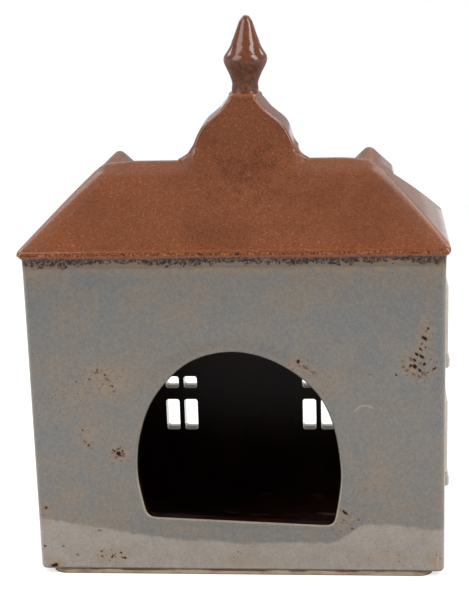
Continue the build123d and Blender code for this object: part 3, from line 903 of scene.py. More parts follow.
def wall_glaze(recipe):
    """Glossy glaze of the walls, duller under the eaves, with the inside and the opening's sleeve painted
    near-black as shade.
    """
    x, y, z = recipe.axes()
    colour, iron = wall_colour(recipe, x, y, z)
    # Under the eaves: crumbs, and the cove's tone, which is partly painted shade
    colour, crusted = eave_crumbs(recipe, colour, z)
    dull = z.step(EAVES - 9.7, EAVES - 5.7)
    roughness = recipe.noise(3.0, detail=3.0, roughness=0.6, shift=40.0) * 0.16 + 0.14 + dull * 0.26
    normal = glaze_bump(recipe, 0.12, 0.025)
    shell = recipe.glossy(colour, roughness, normal, coat=0.3 - dull * 0.25, coat_roughness=0.08)
    # Painted shade inside the house and in the opening's sleeve, with the iron marks and crumbs in the same
    # dark glaze
    iron_crust_and_shade = chamber_mask(x, y).most(recipe.worn().step(THIN + 0.15, THIN + 0.4)).most(iron).most(crusted)
    return iron_and_painted_shade(recipe, iron_crust_and_shade, shell)


def eave_glaze(recipe):
    """Glaze of the moulding, where the roof's glaze ends over the wall's."""
    glaze = colours()
    z = recipe.axes()[2]
    grain = recipe.noise(1.5, detail=3.0, roughness=0.75, shift=3.9)
    drift = recipe.noise(7.0, detail=3.0, roughness=0.6, shift=9.4)
    wall = recipe.blend(drift.step(0.4, 0.7), glaze.wall_blue, glaze.wall_beige)
    roof = recipe.blend(grain.step(0.40, 0.70), glaze.roof_brown, glaze.roof_dark)
    # The cove's tone below the crumbs is partly painted shade under the eaves
    crumbs, crusted = eave_crumbs(recipe, wall, z)
    colour = eave_edge(recipe, roof, crumbs, z)
    roughness = recipe.noise(3.0, detail=3.0, roughness=0.6, shift=40.0) * 0.16 + 0.40
    shell = recipe.glossy(colour, roughness, glaze_bump(recipe, 0.10, 0.025), coat=0.05)
    return iron_and_painted_shade(recipe, crusted * (1 - eave_line(recipe, z)), shell)


def roof_glaze(recipe):
    """Glossy glaze of the roof, dull along its thin edges and round the finial's stem, with its underside
    inside the house painted near-black as shade.
    """
    x, y, z = recipe.axes()
    # Below the roof's glaze line the cove's tone shows, which is partly painted shade
    colour = eave_edge(recipe, roof_colour(recipe, x, z), colours().cove, z)
    stem = z.between(CREST - 1.0, CREST + 2.0, CREST + 12.0, CREST + 15.0)
    crest_edge = recipe.worn() * z.step(RIDGE + 3.0, RIDGE + 8.0) * 0.8
    dull = dull_edges(x, y, z).most(crest_edge)
    grain = recipe.noise(1.8, detail=3.0, roughness=0.6, shift=44.0)
    roughness = grain * 0.14 + 0.10 + stem * 0.4 + dull * 0.35
    coat = 0.45 - dull.most(stem) * 0.43
    shell = recipe.glossy(colour, roughness, glaze_bump(recipe, 0.05), coat=coat, coat_roughness=0.06)
    return iron_and_painted_shade(recipe, chamber_mask(x, y) * inner_roof_mask(x, y, z), shell)


def cream_glaze(recipe):
    """Cream glaze of the frames, clouded darker and specked with rust."""
    glaze = colours()
    cloud = recipe.noise(9.0, detail=3.0, roughness=0.6, shift=50.0)
    base = recipe.blend(cloud.step(0.35, 0.75) * 0.5, glaze.cream, glaze.cream_dark)
    specks = recipe.spots(2.0, share=0.12, shift=52.0, sharp=0.1, radius=0.25)
    base = recipe.blend(specks * 0.8, base, glaze.rust)
    roughness = recipe.noise(3.0, detail=2.0, roughness=0.6, shift=54.0) * 0.15 + 0.15
    return recipe.glossy(base, roughness, glaze_bump(recipe, 0.05), coat=0.3)


def door_glaze(recipe):
    """Brown glaze that runs down the door in streaks."""
    cloud = recipe.noise(6.0, detail=4.0, roughness=0.65, shift=60.0, stretch=(1.0, 1.0, 0.4))
    base = recipe.blend(cloud.step(0.35, 0.7), colours().door, colours().roof_dark)
    return recipe.glossy(base, 0.18, glaze_bump(recipe, 0.05), coat=0.4)


def step_glaze(recipe):
    """Grey glaze of the doorstep, beige where it is thin."""
    cloud = recipe.noise(5.0, detail=4.0, roughness=0.65, shift=70.0)
    base = recipe.blend(cloud.step(0.35, 0.7), colours().step, colours().wall_beige)
    return recipe.glossy(base, 0.3, glaze_bump(recipe, 0.05, 0.03), coat=0.2)


def bare_clay(recipe):
    """Bare clay of the foot, with a brown seam where it meets the walls and a painted contact
    shadow along its lowest edge, and the dark brown glaze of the chamber's floor above it."""
    glaze = colours()
    z = recipe.axes()[2]
    cloud = recipe.noise(6.0, detail=4.0, roughness=0.7, shift=80.0, stretch=(0.4, 0.4, 1.0))
    base = recipe.blend(cloud.step(0.4, 0.65) * 0.7, glaze.clay, glaze.clay_dark)
    seam = recipe.noise(9.0, detail=2.0, roughness=0.6, shift=88.0).step(0.40, 0.6)
    base = recipe.blend(z.step(FOOT - 0.8, FOOT - 0.3) * seam * 0.85, base, glaze.foot_brown_and_contact_shadow)
    # Painted contact shadow: the foot's lowest half millimetre darkened to the foot's brown
    base = recipe.blend(z.step(0.55, 0.15) * 0.85, base, glaze.foot_brown_and_contact_shadow)
    grit = recipe.noise(0.5, detail=2.0, roughness=0.7, shift=84.0)
    clay = recipe.glossy(base, 0.8, recipe.bump(grit, 0.08))
    smear = recipe.noise(7.0, detail=4.0, roughness=0.65, shift=95.0, stretch=(0.5, 1.0, 1.0)).step(0.45, 0.7)
    scratch = recipe.noise(5.0, detail=2.0, roughness=0.5, shift=97.0, stretch=(0.3, 2.0, 1.0))
    brown = recipe.blend(smear, glaze.floor_dark, glaze.floor_brown)
    brown = recipe.blend(scratch.step(0.66, 0.70) * 0.5, brown, glaze.floor_scratch)
    floor = recipe.glossy(brown, 0.4, recipe.bump(smear, 0.1), ior=1.35)
    return recipe.mix(z.step(FOOT + 0.2, FOOT + 0.6), clay, floor)


# Roof
NOSE_STEPS = 14
SLOPE_STEPS = 64
TOP_STEPS = 12
RIDGE_END_DROP = 0.9 * MM
RIDGE_END_REACH = 12.0 * MM
SWELL_RIGHT = 1.4 * MM
SWELL_LEFT = 0.4 * MM
SWELL_REACH = 50.0 * MM
ROOF_WAVER_SIZE = 55.0 * MM
ROOF_SEED = 21
INNER_CORNER = 0.3 * MM
SINK_START_SHARE = 0.8
SWELL_POWER = 0.85
HIP_POWER = 1.5
STEADY_EAVE_SHARE = 1 / 6
NOSE_WEAR = 0.6
NOSE_WEAR_ROW = 9.0
NOSE_WEAR_ROWS = 4.0
HIP_WEAR_FOOT = 1.25
HIP_WEAR_FALL = 1.5


def arc(middle, radius, first, last, steps):
    """Points of a circle round the middle, from the first angle to the last."""
    turn = np.linspace(first, last, steps)
    return np.stack([middle[0] + radius * np.cos(turn), middle[1] + radius * np.sin(turn)], axis=-1)


def roof_profile(slant, half_span, ridge_half):
    """Offsets from the middle and heights up a roof slope: the eave's nose, the straight
    slope and the round of the ridge. Slant is the slope's pitch."""
    radius = ROOF_EDGE_RADIUS
    lean = math.atan2(1, slant)
    nose_z = WALL_TOP + EAVE_EDGE + radius * (slant - math.hypot(1, slant))
    first = math.asin((WALL_TOP - nose_z) / radius)
    nose = arc((half_span - radius, nose_z), radius, first, lean, NOSE_STEPS)
    top = arc((ridge_half, RIDGE_TOP - radius), radius, lean, math.pi / 2, TOP_STEPS)
    climb = np.linspace(0, 1, SLOPE_STEPS + 2)[1:-1]
    return np.concatenate([nose, nose[-1] + (top[0] - nose[-1]) * climb[:, None], top])


def roof_outside(ring):
    """Outer surface of the whole roof as stacked rings. The heights of a ring go from those
    of the side slopes to those of the front and rear ones as the outward heading turns, the
    ridge's ends sink a little, the side slopes swell in half a sine, and a soft waver presses
    everything but the eaves inward."""
    ridge_rise = RIDGE_TOP - ROOF_EDGE_RADIUS - WALL_TOP - EAVE_EDGE
    ridge_half = EAVE_HALF_WIDTH - (ridge_rise + ROOF_EDGE_RADIUS * math.hypot(1, SIDE_PITCH)) / SIDE_PITCH
    long_side = roof_profile(FRONT_PITCH, EAVE_HALF_DEPTH, 0.0)
    short_side = roof_profile(SIDE_PITCH, EAVE_HALF_WIDTH, ridge_half)
    share = np.linspace(0, 1, len(long_side))
    hip = shape().hip_low + (shape().hip_high - shape().hip_low) * share**HIP_POWER
    turned = ring.heading[:, 1] ** 2
    height = long_side[:, 1:] * turned + short_side[:, 1:] * (1 - turned)
    outer = stack(ring, short_side[:, 0], long_side[:, 0], np.minimum(hip, long_side[:, 0]), height)
    climb = np.clip((outer[..., 2] - WALL_TOP) / (RIDGE_TOP - WALL_TOP), 0, 1)
    end = np.clip((np.abs(outer[..., 0]) - ridge_half + RIDGE_END_REACH) / RIDGE_END_REACH, 0, 1)
    near_top = np.clip((climb - SINK_START_SHARE) / (1 - SINK_START_SHARE), 0, 1)
    outer[..., 2] -= RIDGE_END_DROP * end**2 * near_top**2
    swell = np.where(outer[..., 0] > 0, SWELL_RIGHT, SWELL_LEFT) * np.sin(math.pi * climb**SWELL_POWER)
    outer[..., 0] += np.sign(outer[..., 0]) * swell * np.clip(np.abs(outer[..., 0]) / SWELL_REACH, 0, 1) ** 4
    normals = -grid_normals(outer, (False, True))
    normals[-1] = (0, 0, 1)
    moved = settle(outer, normals, shape().waver_depth * 0.5, ROOF_WAVER_SIZE, ROOF_SEED)
    return outer + (moved - outer) * np.clip(share / STEADY_EAVE_SHARE, 0, 1)[:, None, None]


def roof_inside(ring, steps):
    """Inner surface of the roof: a plain hip, one slab's thickness lower."""
    rise = np.linspace(0, 1, steps)
    pitch = (ROOF_RISE - ROOF_THICKNESS) / INNER_HALF_DEPTH
    height = WALL_TOP + rise * INNER_HALF_DEPTH * pitch
    half_y = INNER_HALF_DEPTH * (1 - rise)
    half_x = INNER_HALF_WIDTH - (height - WALL_TOP) / SIDE_PITCH
    return stack(ring, half_x, half_y, np.minimum(INNER_CORNER, half_y), height)


def roof_wear(ring, steps):
    """Thin glaze along the lower part of the hips and, less so, over the eave's nose."""
    share = np.linspace(0, 1, steps)[:, None]
    hip = np.clip(HIP_WEAR_FOOT - HIP_WEAR_FALL * share, 0, 1)
    nose = np.exp(-(((np.arange(steps)[:, None] - NOSE_WEAR_ROW) / NOSE_WEAR_ROWS) ** 2))
    return np.maximum(ring.bends() * hip, nose * NOSE_WEAR)


class TEALIGHT_OT_roof(bpy.types.Operator):
    """Add the four glazed roof slabs"""

    bl_idname = "tealight.roof"
    bl_label = "Roof slabs"

    def execute(self, context):
        ring = Ring(long_count=150, short_count=70, bend_count=12)
        outer = roof_outside(ring)
        inner = roof_inside(ring, len(outer))
        normals = grid_normals(outer, (False, True))
        worn = roof_wear(ring, len(outer))
        material = material_of("roof_glaze")
        for number, side in enumerate(("rear", "right", "front", "left")):
            columns = ring.side(number)
            skin = self.slab(outer[:, columns], inner[:, columns], normals[:, columns], worn[:, columns])
            piece = skin.build(f"{side}_roof_slab", material, f"{side}_roof_slope")
        return {"FINISHED"}

    def slab(self, outer, inner, normals, worn):
        """One slab between its two hips: outside, inside, underside, the joint along the
        ridge and the mitres at its ends."""
        skin = Skin()
        skin.add(outer, turned=True, normals=normals, worn=worn)
        skin.add(inner)
        skin.add(np.stack([outer[0], inner[0]]))
        skin.add(np.stack([inner[-1], outer[-1]]))
        skin.add(np.stack([outer[:, 0], inner[:, 0]]), turned=True)
        skin.add(np.stack([outer[:, -1], inner[:, -1]]))
        return skin


# Moulding
MOULDING_WAVER = 0.12 * MM
MOULDING_WAVER_SIZE = 24.0 * MM
MOULDING_SEED = 31
MOULDING_FADE = 0.5 * MM
NOSE_POINTS = 10
COVE_POINTS = 22
TOP_POINTS = 8
BACK_POINTS = 11


def cove_profile():
    """Closed section of the moulding as offsets from the wall and heights: the top, then the
    lip, nose and cove, which is a quarter of an ellipse, and the back against the wall."""
    overhang = COVE_HIGH.x - HALF_WIDTH
    height = COVE_HIGH.z - COVE_LOW.z
    turn = np.linspace(0, math.pi / 2, NOSE_POINTS)
    across = overhang - MOULDING_NOSE * (1 - np.cos(turn))
    nose = np.stack([across, MOULDING_NOSE * (1 - np.sin(turn)) - MOULDING_LIP], axis=-1)
    sweep = np.linspace(0, math.pi / 2, COVE_POINTS)[1:]
    reach = across[-1] - MOULDING_TOE
    fall = height - MOULDING_LIP
    cove_height = -MOULDING_LIP - fall * (1 - np.cos(sweep))
    cove = np.stack([across[-1] - reach * np.sin(sweep), cove_height], axis=-1)
    top = np.stack([np.linspace(0, overhang, TOP_POINTS), np.zeros(TOP_POINTS)], axis=-1)[:-1]
    back = np.stack([np.zeros(BACK_POINTS), np.linspace(-height, 0, BACK_POINTS)], axis=-1)[:-1]
    return top, np.concatenate([[(overhang, 0.0)], nose, cove]), back


class TEALIGHT_OT_moulding(bpy.types.Operator):
    """Add the moulding under the eaves"""

    bl_idname = "tealight.moulding"
    bl_label = "Eave moulding"

    def execute(self, context):
        ring = Ring(long_count=260, short_count=120, bend_count=14)
        skin = Skin()
        top, face, back = cove_profile()
        joins = [np.stack([first[-1], last[0]]) for first, last in ((face, back), (top, face), (back, top))]
        for section in (top, face, back, *joins):
            skin.add(self.run(ring, section), wraps=(False, True))
        piece = skin.build("cove_moulding", material_of("eave_glaze"), "eave_moulding")
        return {"FINISHED"}

    def run(self, ring, section):
        """The section carried round the walls, with a soft waver that fades out at the wall
        and at the roof."""
        out, height = section[:, 0], section[:, 1] + WALL_TOP
        grid = stack(ring, HALF_WIDTH + out, HALF_DEPTH + out, CORNER_RADIUS + out, height)
        loose = np.clip(out / MOULDING_FADE, 0, 1) * np.clip(-section[:, 1] / MOULDING_FADE, 0, 1)
        soft = waver(grid, MOULDING_WAVER_SIZE, MOULDING_SEED) * MOULDING_WAVER - MOULDING_WAVER
        outward = np.concatenate([ring.heading, np.zeros((ring.count, 1))], axis=-1)
        return grid + (soft * loose[:, None])[..., None] * outward


# Rear wall
OPENING_SHARES = (
    (-0.915, 0.060),
    (-0.955, 0.150),
    (-0.998, 0.320),
    (-0.958, 0.530),
    (-0.800, 0.748),
    (-0.464, 0.938),
    (-0.036, 1.000),
    (0.377, 0.944),
    (0.735, 0.798),
    (0.920, 0.612),
    (1.000, 0.340),
    (0.975, 0.160),
    (0.925, 0.014),
)
OPENING_WIDTH = 82.4 * MM
OPENING_HEIGHT = 74.7 * MM
OPENING_BASE = 21.4 * MM
OPENING_SHIFT = 0.4 * MM
OPENING_CORNER = 5.4 * MM
OPENING_MIDDLE = (0.4 * MM, 53.8 * MM)
OPENING_POINTS = 1440
ARCH_STEPS = 40
SILL_STEPS = 118


def smooth_curve(control, steps):
    """Catmull-Rom curve through the points: each stretch is a cubic whose slope at a point
    is half the way between that point's neighbours."""
    ends = np.vstack([2 * control[0] - control[1], control, 2 * control[-1] - control[-2]])
    t = np.linspace(0, 1, steps, endpoint=False)[:, None, None]
    before, first, second, after = ends[:-3], ends[1:-2], ends[2:-1], ends[3:]
    curve = 0.5 * (
        2 * first
        + (second - before) * t
        + (2 * before - 5 * first + 4 * second - after) * t**2
        + (3 * first - before - 3 * second + after) * t**3
    )
    return np.vstack([curve.transpose(1, 0, 2).reshape(-1, 2), control[-1:]])


def even_loop(loop, count):
    """Points at even steps along a closed line, and the length of the line."""
    step = np.linalg.norm(np.roll(loop, -1, 0) - loop, axis=1)
    travel = np.concatenate([[0], np.cumsum(step)])
    even = np.linspace(0, travel[-1], count, endpoint=False)
    closed = np.vstack([loop, loop[:1]])
    return np.stack([np.interp(even, travel, closed[:, axis]) for axis in (0, 1)], axis=-1), travel[-1]


def opening_outline():
    """Dense outline of the hand opening: a smooth curve up and over the arch, and a straight
    sill whose two ends are rounded by averaging along the line."""
    shares = np.array(OPENING_SHARES)
    across = OPENING_SHIFT + shares[:, 0] * OPENING_WIDTH / 2
    control = np.stack([across, OPENING_BASE + shares[:, 1] * OPENING_HEIGHT], axis=-1)
    arch = smooth_curve(control, ARCH_STEPS)
    sill = arch[-1] + (arch[0] - arch[-1]) * np.linspace(0, 1, SILL_STEPS + 2)[1:-1, None]
    loop, length = even_loop(np.vstack([arch, sill]), OPENING_POINTS)
    reach = int(OPENING_CORNER / (length / OPENING_POINTS))
    window = np.hanning(2 * reach + 1)
    window /= window.sum()
    padded = np.vstack([loop[-reach:], loop, loop[:reach]])
    return np.stack([np.convolve(padded[:, axis], window, "valid") for axis in (0, 1)], axis=-1)


def wall_bend(x, z):
    """How far the outside of the rear wall lies behind its flat: the round of the upright
    corners and of the lower edge."""
    side = np.clip(np.abs(x) - (HALF_WIDTH - CORNER_RADIUS), 0, CORNER_RADIUS)
    low = np.clip(WALL_BASE + LOWER_EDGE_RADIUS - z, 0, LOWER_EDGE_RADIUS)
    upright_round = CORNER_RADIUS - np.sqrt(CORNER_RADIUS**2 - side**2)
    return upright_round + LOWER_EDGE_RADIUS - np.sqrt(LOWER_EDGE_RADIUS**2 - low**2)


def frame_outline(angles, middle, half_width, low, high):
    """Points where rays from the middle meet a rectangle."""
    across, up = np.cos(angles), np.sin(angles)
    with np.errstate(divide="ignore"):
        reach_x = np.where(across > 0, half_width - middle[0], half_width + middle[0]) / np.abs(across)
        reach_z = np.where(up > 0, high - middle[1], middle[1] - low) / np.abs(up)
    reach = np.minimum(reach_x, reach_z)
    return np.stack([middle[0] + across * reach, middle[1] + up * reach], axis=-1)


def upright(places, depth):
    """Points (x, depth, z) of places (x, z)."""
    depth = np.broadcast_to(depth, places.shape[:-1])
    return np.stack([places[..., 0], depth, places[..., 1]], axis=-1)


class TEALIGHT_OT_rear_wall(bpy.types.Operator):
    """Add the rear wall with its hand opening"""

    bl_idname = "tealight.rear_wall"
    bl_label = "Rear wall"

    rays = 720
    rim_rows = 12
    face_rows = 90
    sleeve_rows = 5
    inner_rim_rows = 7
    inner_face_rows = 14
    inner_rim = 1.2 * MM
    waver_size = 60.0 * MM
    seed = 41
    fade_share = 1 / 8
    # Along the rim's rounding, from the opening outward: painted near-black shade, then the cream line, which
    # is partly a painted highlight, then the plain glaze
    wear_angles = (0.0, 0.35, 0.75, 1.25, 1.5)
    wear = (PAINTED_SHADE, PAINTED_SHADE, THIN, 0.9 * THIN, 0.0)

    def execute(self, context):
        middle = np.array(OPENING_MIDDLE)
        mitre_x = HALF_WIDTH - CORNER_RADIUS * (1 - math.sqrt(0.5))
        corners = [
            math.atan2(z - middle[1], x - middle[0])
            for x in (-mitre_x, mitre_x)
            for z in (WALL_BASE, WALL_TOP)
        ]
        angles = np.sort(np.concatenate([np.linspace(-math.pi, math.pi, self.rays, endpoint=False), corners]))
        rim = self.rim(middle, angles)
        tangent = np.roll(rim, -1, 0) - np.roll(rim, 1, 0)
        out = np.stack([tangent[:, 1], -tangent[:, 0]], axis=-1)
        out /= np.linalg.norm(out, axis=1, keepdims=True)
        outer = frame_outline(angles, middle, mitre_x, WALL_BASE, WALL_TOP)
        inner = frame_outline(angles, middle, INNER_HALF_WIDTH, WALL_BASE, WALL_TOP)
        skin = Skin()
        self.outside(skin, rim, out, outer)
        self.inside(skin, rim, out, inner)
        first = upright(outer, -HALF_DEPTH + wall_bend(outer[:, 0], outer[:, 1]))
        skin.add(np.stack([first, upright(inner, -INNER_HALF_DEPTH)]), wraps=(False, True))
        piece = skin.build("pierced_rear_wall", material_of("wall_glaze"), "rear_wall")
        return {"FINISHED"}

    def rim(self, middle, angles):
        """Points where rays from the middle meet the opening's outline."""
        turn = opening_outline() - middle
        polar = np.arctan2(turn[:, 1], turn[:, 0])
        order = np.argsort(polar)
        reach = np.linalg.norm(turn, axis=1)[order]
        radius = np.interp(angles, polar[order], reach, period=2 * math.pi)
        return middle + np.stack([np.cos(angles), np.sin(angles)], axis=-1) * radius[:, None]

    def outside(self, skin, rim, out, outer):
        """Over the round of the rim and across the outer face to its edges, in steps that
        are closest at both ends, with a soft waver that fades out there."""
        radius = shape().rim_radius
        turn = np.linspace(0, math.pi / 2, self.rim_rows)
        bend = rim + out * (radius * (1 - np.cos(turn)))[:, None, None]
        round_rim = upright(bend, (-HALF_DEPTH + radius * (1 - np.sin(turn)))[:, None])
        steps = 0.5 - 0.5 * np.cos(math.pi * np.linspace(0, 1, self.face_rows))
        flat_start = rim + out * radius
        face = flat_start + (outer - flat_start) * steps[:, None, None]
        grid = upright(face, -HALF_DEPTH + wall_bend(face[..., 0], face[..., 1]))
        soft = (1 + waver(grid, self.waver_size, self.seed)) * shape().waver_depth * 0.5
        grid[..., 1] += soft * smooth(np.minimum(steps, 1 - steps) / self.fade_share)[:, None]
        whole = np.concatenate([round_rim[:-1], grid])
        worn = np.zeros(len(whole))
        worn[: len(turn) - 1] = np.interp(turn[:-1], self.wear_angles, self.wear)
        skin.add(whole, wraps=(False, True), worn=worn[:, None])

    def inside(self, skin, rim, out, inner):
        """Through the thickness, over the inner rim and across the flat inner face."""
        start = -HALF_DEPTH + shape().rim_radius
        end = -INNER_HALF_DEPTH - self.inner_rim
        sleeve = np.stack([upright(rim, depth) for depth in np.linspace(start, end, self.sleeve_rows)])
        turn = np.linspace(0, math.pi / 2, self.inner_rim_rows)[1:]
        bend = rim + out * (self.inner_rim * (1 - np.cos(turn)))[:, None, None]
        lip = upright(bend, (end + self.inner_rim * np.sin(turn))[:, None])
        flat_start = rim + out * self.inner_rim
        steps = np.linspace(0, 1, self.inner_face_rows)[1:, None, None]
        face = flat_start + (inner - flat_start) * steps
        whole = np.concatenate([sleeve, lip, upright(face, -INNER_HALF_DEPTH)])
        # The sleeve, the inner rim and the inner face are painted near-black as shade
        skin.add(whole, turned=True, wraps=(False, True), worn=PAINTED_SHADE)


# Crest and finial
CREST_SHARES = (
    (0.000, 1.000),
    (0.040, 0.930),
    (0.090, 0.850),
    (0.152, 0.800),
    (0.248, 0.745),
    (0.350, 0.705),
    (0.450, 0.660),
    (0.550, 0.600),
    (0.640, 0.520),
    (0.730, 0.420),
    (0.820, 0.330),
    (0.910, 0.265),
    (1.000, 0.200),
)
FINIAL_SHARES = (
    (0.000, 0.620),
    (0.030, 0.605),
    (0.054, 0.600),
    (0.090, 0.585),
    (0.122, 0.585),
    (0.155, 0.610),
    (0.189, 0.650),
    (0.223, 0.695),
    (0.257, 0.746),
    (0.290, 0.805),
    (0.324, 0.866),
    (0.360, 0.925),
    (0.392, 0.975),
    (0.420, 1.000),
    (0.445, 1.000),
    (0.470, 0.985),
    (0.493, 0.945),
    (0.527, 0.865),
    (0.560, 0.790),
    (0.595, 0.720),
    (0.630, 0.660),
    (0.660, 0.630),
    (0.730, 0.530),
    (0.797, 0.445),
    (0.865, 0.365),
    (0.930, 0.280),
    (1.000, 0.120),
)


def smooth_table(shares, places):
    """Reads a table at the given places along its first column: a cubic between two rows,
    whose slopes come from the rows around them."""
    table = np.array(shares)
    at, value = table[:, 0], table[:, 1]
    slope = np.gradient(value, at)
    index = np.clip(np.searchsorted(at, places, side="right") - 1, 0, len(at) - 2)
    gap = at[index + 1] - at[index]
    t = np.clip((places - at[index]) / gap, 0, 1)
    low, high = value[index], value[index + 1]
    return (
        (2 * t**3 - 3 * t**2 + 1) * low
        + (t**3 - 2 * t**2 + t) * gap * slope[index]
        + (3 * t**2 - 2 * t**3) * high
        + (t**3 - t**2) * gap * slope[index + 1]
    )


class TEALIGHT_OT_finial(bpy.types.Operator):
    """Add the turned finial"""

    bl_idname = "tealight.finial"
    bl_label = "Finial"

    belly_radius = 9.0 * MM
    tip_radius = 2.8 * MM
    lean = math.radians(2.0)
    height_share = 0.999
    wobble_share = 0.012
    twist = 9
    rows = 150
    columns = 96
    tip_rows = 30
    tip_share = 0.03

    def execute(self, context):
        """The table's radii turned about a slightly leaning axis, held under a ball at the
        tip, and made a little oval by a sine that twists as it climbs."""
        height = (FINIAL_HIGH.z - CREST_TOP) * self.height_share
        middle = Vector((FINIAL_SHIFT, (FINIAL_LOW.y + FINIAL_HIGH.y) / 2, CREST_TOP))
        ending = 1 - np.linspace(1, 0, self.tip_rows) ** 2 * self.tip_share
        places = np.unique(np.concatenate([np.linspace(0, 1 - self.tip_share, self.rows), ending]))
        radius = self.belly_radius * smooth_table(FINIAL_SHARES, places)
        radius[-1] = 0.0
        radius = np.minimum(radius, np.sqrt(2 * self.tip_radius * height * (1 - places)))
        angle = np.linspace(0, 2 * math.pi, self.columns, endpoint=False)
        climb = places[:, None]
        wobble = 1 + self.wobble_share * np.sin(2 * angle[None] + self.twist * climb)
        x = middle.x + radius[:, None] * np.cos(angle) * wobble + np.sin(self.lean) * climb * height
        y = middle.y + radius[:, None] * np.sin(angle) * wobble
        z = np.broadcast_to(middle.z + climb * height, x.shape)
        grid = np.stack([x, y, z], axis=-1)
        skin = Skin()
        skin.add(grid, turned=True, wraps=(False, True))
        middle_of_foot = np.broadcast_to(grid[0].mean(axis=0), grid[0].shape)
        skin.add(np.stack([grid[0], middle_of_foot]), wraps=(False, True))
        piece = skin.build("turned_finial", material_of("roof_glaze"), "finial")
        return {"FINISHED"}


class TEALIGHT_OT_crest(bpy.types.Operator):
    """Add the bell-shaped crest"""

    bl_idname = "tealight.crest"
    bl_label = "Ridge crest"

    edge_radius = 1.3 * MM
    brow_radius = 2.2 * MM
    back_share = 0.80
    back_swell = 2.2 * MM
    left_swell_share = 0.5
    swell_start_share = 0.25
    swell_rise_share = 0.4
    back_power = 0.8
    sunk = 2.5 * MM
    slope_sunk = 0.25 * MM
    rows = 90
    brow_rows = 8
    top_rows = 7
    crease_rows = 24
    rear_heading = -0.7
    rear_power = 30

    def execute(self, context):
        ring = Ring(long_count=90, short_count=26, bend_count=10)
        grid = self.body(ring)
        self.shape_back(grid)
        grid = self.crease(ring, grid)
        climb = np.clip((grid[:, 0, 2] - RIDGE_TOP) / (CREST_TOP - RIDGE_TOP), 0, 1)[:, None]
        worn = np.maximum(ring.bends() * np.clip(climb * 1.6 - 0.5, 0, 1), np.clip(climb * 12 - 10.9, 0, 1))
        last = grid[-1]
        lower = last.copy()
        lower[:, 2] = RIDGE_TOP - FRONT_PITCH * np.abs(last[:, 1]) - self.sunk
        seam = lower.copy()
        seam[:, 0] = CREST_MIDDLE
        skin = Skin()
        skin.add(grid, wraps=(False, True), worn=worn)
        skin.add(np.stack([last, lower]), wraps=(False, True))
        skin.add(np.stack([lower, seam]), wraps=(False, True))
        piece = skin.build("bell_crest", material_of("roof_glaze"), "ridge_crest")
        return {"FINISHED"}

    def body(self, ring):
        """Rings from the middle of the top over its rounded brow and down the bell's table of
        widths to the ridge."""
        brow = self.brow_radius
        share = np.linspace(1, 0, self.rows)
        width = CREST_HALF_WIDTH * smooth_table(CREST_SHARES, share)
        turn = np.linspace(math.pi / 2, 0, self.brow_rows)[:-1]
        cap_width = width[0] - brow * (1 - np.cos(turn))
        cap_depth = CREST_DEPTH / 2 - brow * (1 - np.cos(turn))
        close = np.linspace(0, 1, self.top_rows)[:-1]
        half_x = np.concatenate([cap_width[0] * close, cap_width, width])
        half_y = np.concatenate([cap_depth[0] * close, cap_depth, np.full(len(share), CREST_DEPTH / 2)])
        cap_level = CREST_TOP - brow + brow * np.sin(turn)
        level = RIDGE_TOP + (CREST_TOP - RIDGE_TOP - brow) * share
        level = np.concatenate([np.full(len(close), CREST_TOP), cap_level, level])
        corner = np.minimum(self.edge_radius, np.minimum(half_x, half_y))
        grid = stack(ring, half_x, half_y, corner, level)
        grid[..., 0] += CREST_MIDDLE
        grid[..., 1] += CREST_DEPTH / 2
        return grid

    def shape_back(self, grid):
        """Narrows the foot towards the back, and swells the back's upper part sideways."""
        back = np.clip(grid[..., 1] / CREST_DEPTH, 0, 1) ** self.back_power
        across = grid[..., 0] - CREST_MIDDLE
        foot = CREST_HALF_WIDTH * self.back_share
        narrow = np.minimum(1, foot / np.maximum(np.abs(across), foot))
        across = across * (1 + (narrow - 1) * back)
        rise = (grid[..., 2] - RIDGE_TOP) / (CREST_TOP - RIDGE_TOP)
        swell = smooth((rise - self.swell_start_share) / self.swell_rise_share) * back * self.back_swell
        swell = swell * np.where(across < 0, self.left_swell_share, 1.0)
        grid[..., 0] = CREST_MIDDLE + across + np.sign(across) * swell

    def crease(self, ring, grid):
        """Rows that carry the crest down onto the roof: straight down at its sides and front,
        while the rear face leaves its upright along a parabola that meets the rear slope."""
        reach = shape().crease
        drop = reach * FRONT_PITCH
        base = grid[-1]
        rear = (ring.heading[:, 1] < self.rear_heading) & (ring.square[:, 1] < 0)
        weight = np.where(rear, 1 - np.abs(ring.square[:, 0]) ** self.rear_power, 0.0)
        share = np.linspace(0, 1, self.crease_rows)[1:, None]
        slope_z = RIDGE_TOP - FRONT_PITCH * np.abs(base[:, 1]) - self.slope_sunk
        rows = np.repeat(base[None], len(share), 0)
        rows[..., 2] = base[:, 2] + (slope_z - base[:, 2]) * share - drop * share * weight
        whole = np.concatenate([grid, rows])
        way = np.clip((RIDGE_TOP + drop - whole[..., 2]) / (2 * drop), 0, 1)
        whole[..., 1] -= reach * way**2 * weight
        return whole


# Carried-over nodes
NODE_FINISHES = {
    "wall_glaze": ("front_wall", "left_wall", "right_wall"),
    "roof_glaze": ("left_dormer", "right_dormer"),
    "cream_glaze": tuple(
        name
        for name in sorted(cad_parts)
        if "window" in name or name in ("crest_roundel", "door_surround")
    ),
    "door_glaze": ("door_leaf", "door_knob"),
    "step_glaze": ("doorstep",),
    "bare_clay": ("base_slab",),
}
GLAZES = {
    "wall_glaze": wall_glaze,
    "eave_glaze": eave_glaze,
    "roof_glaze": roof_glaze,
    "cream_glaze": cream_glaze,
    "door_glaze": door_glaze,
    "step_glaze": step_glaze,
    "bare_clay": bare_clay,
}


def material_of(name):
    """The fired glaze of a slot, made when it is first asked for."""
    material = bpy.data.materials.get(f"fired_{name}")
    if material is None:
        material = bpy.data.materials.new(f"fired_{name}")
        recipe = Recipe(material)
        recipe.end(GLAZES[name](recipe))
    return material


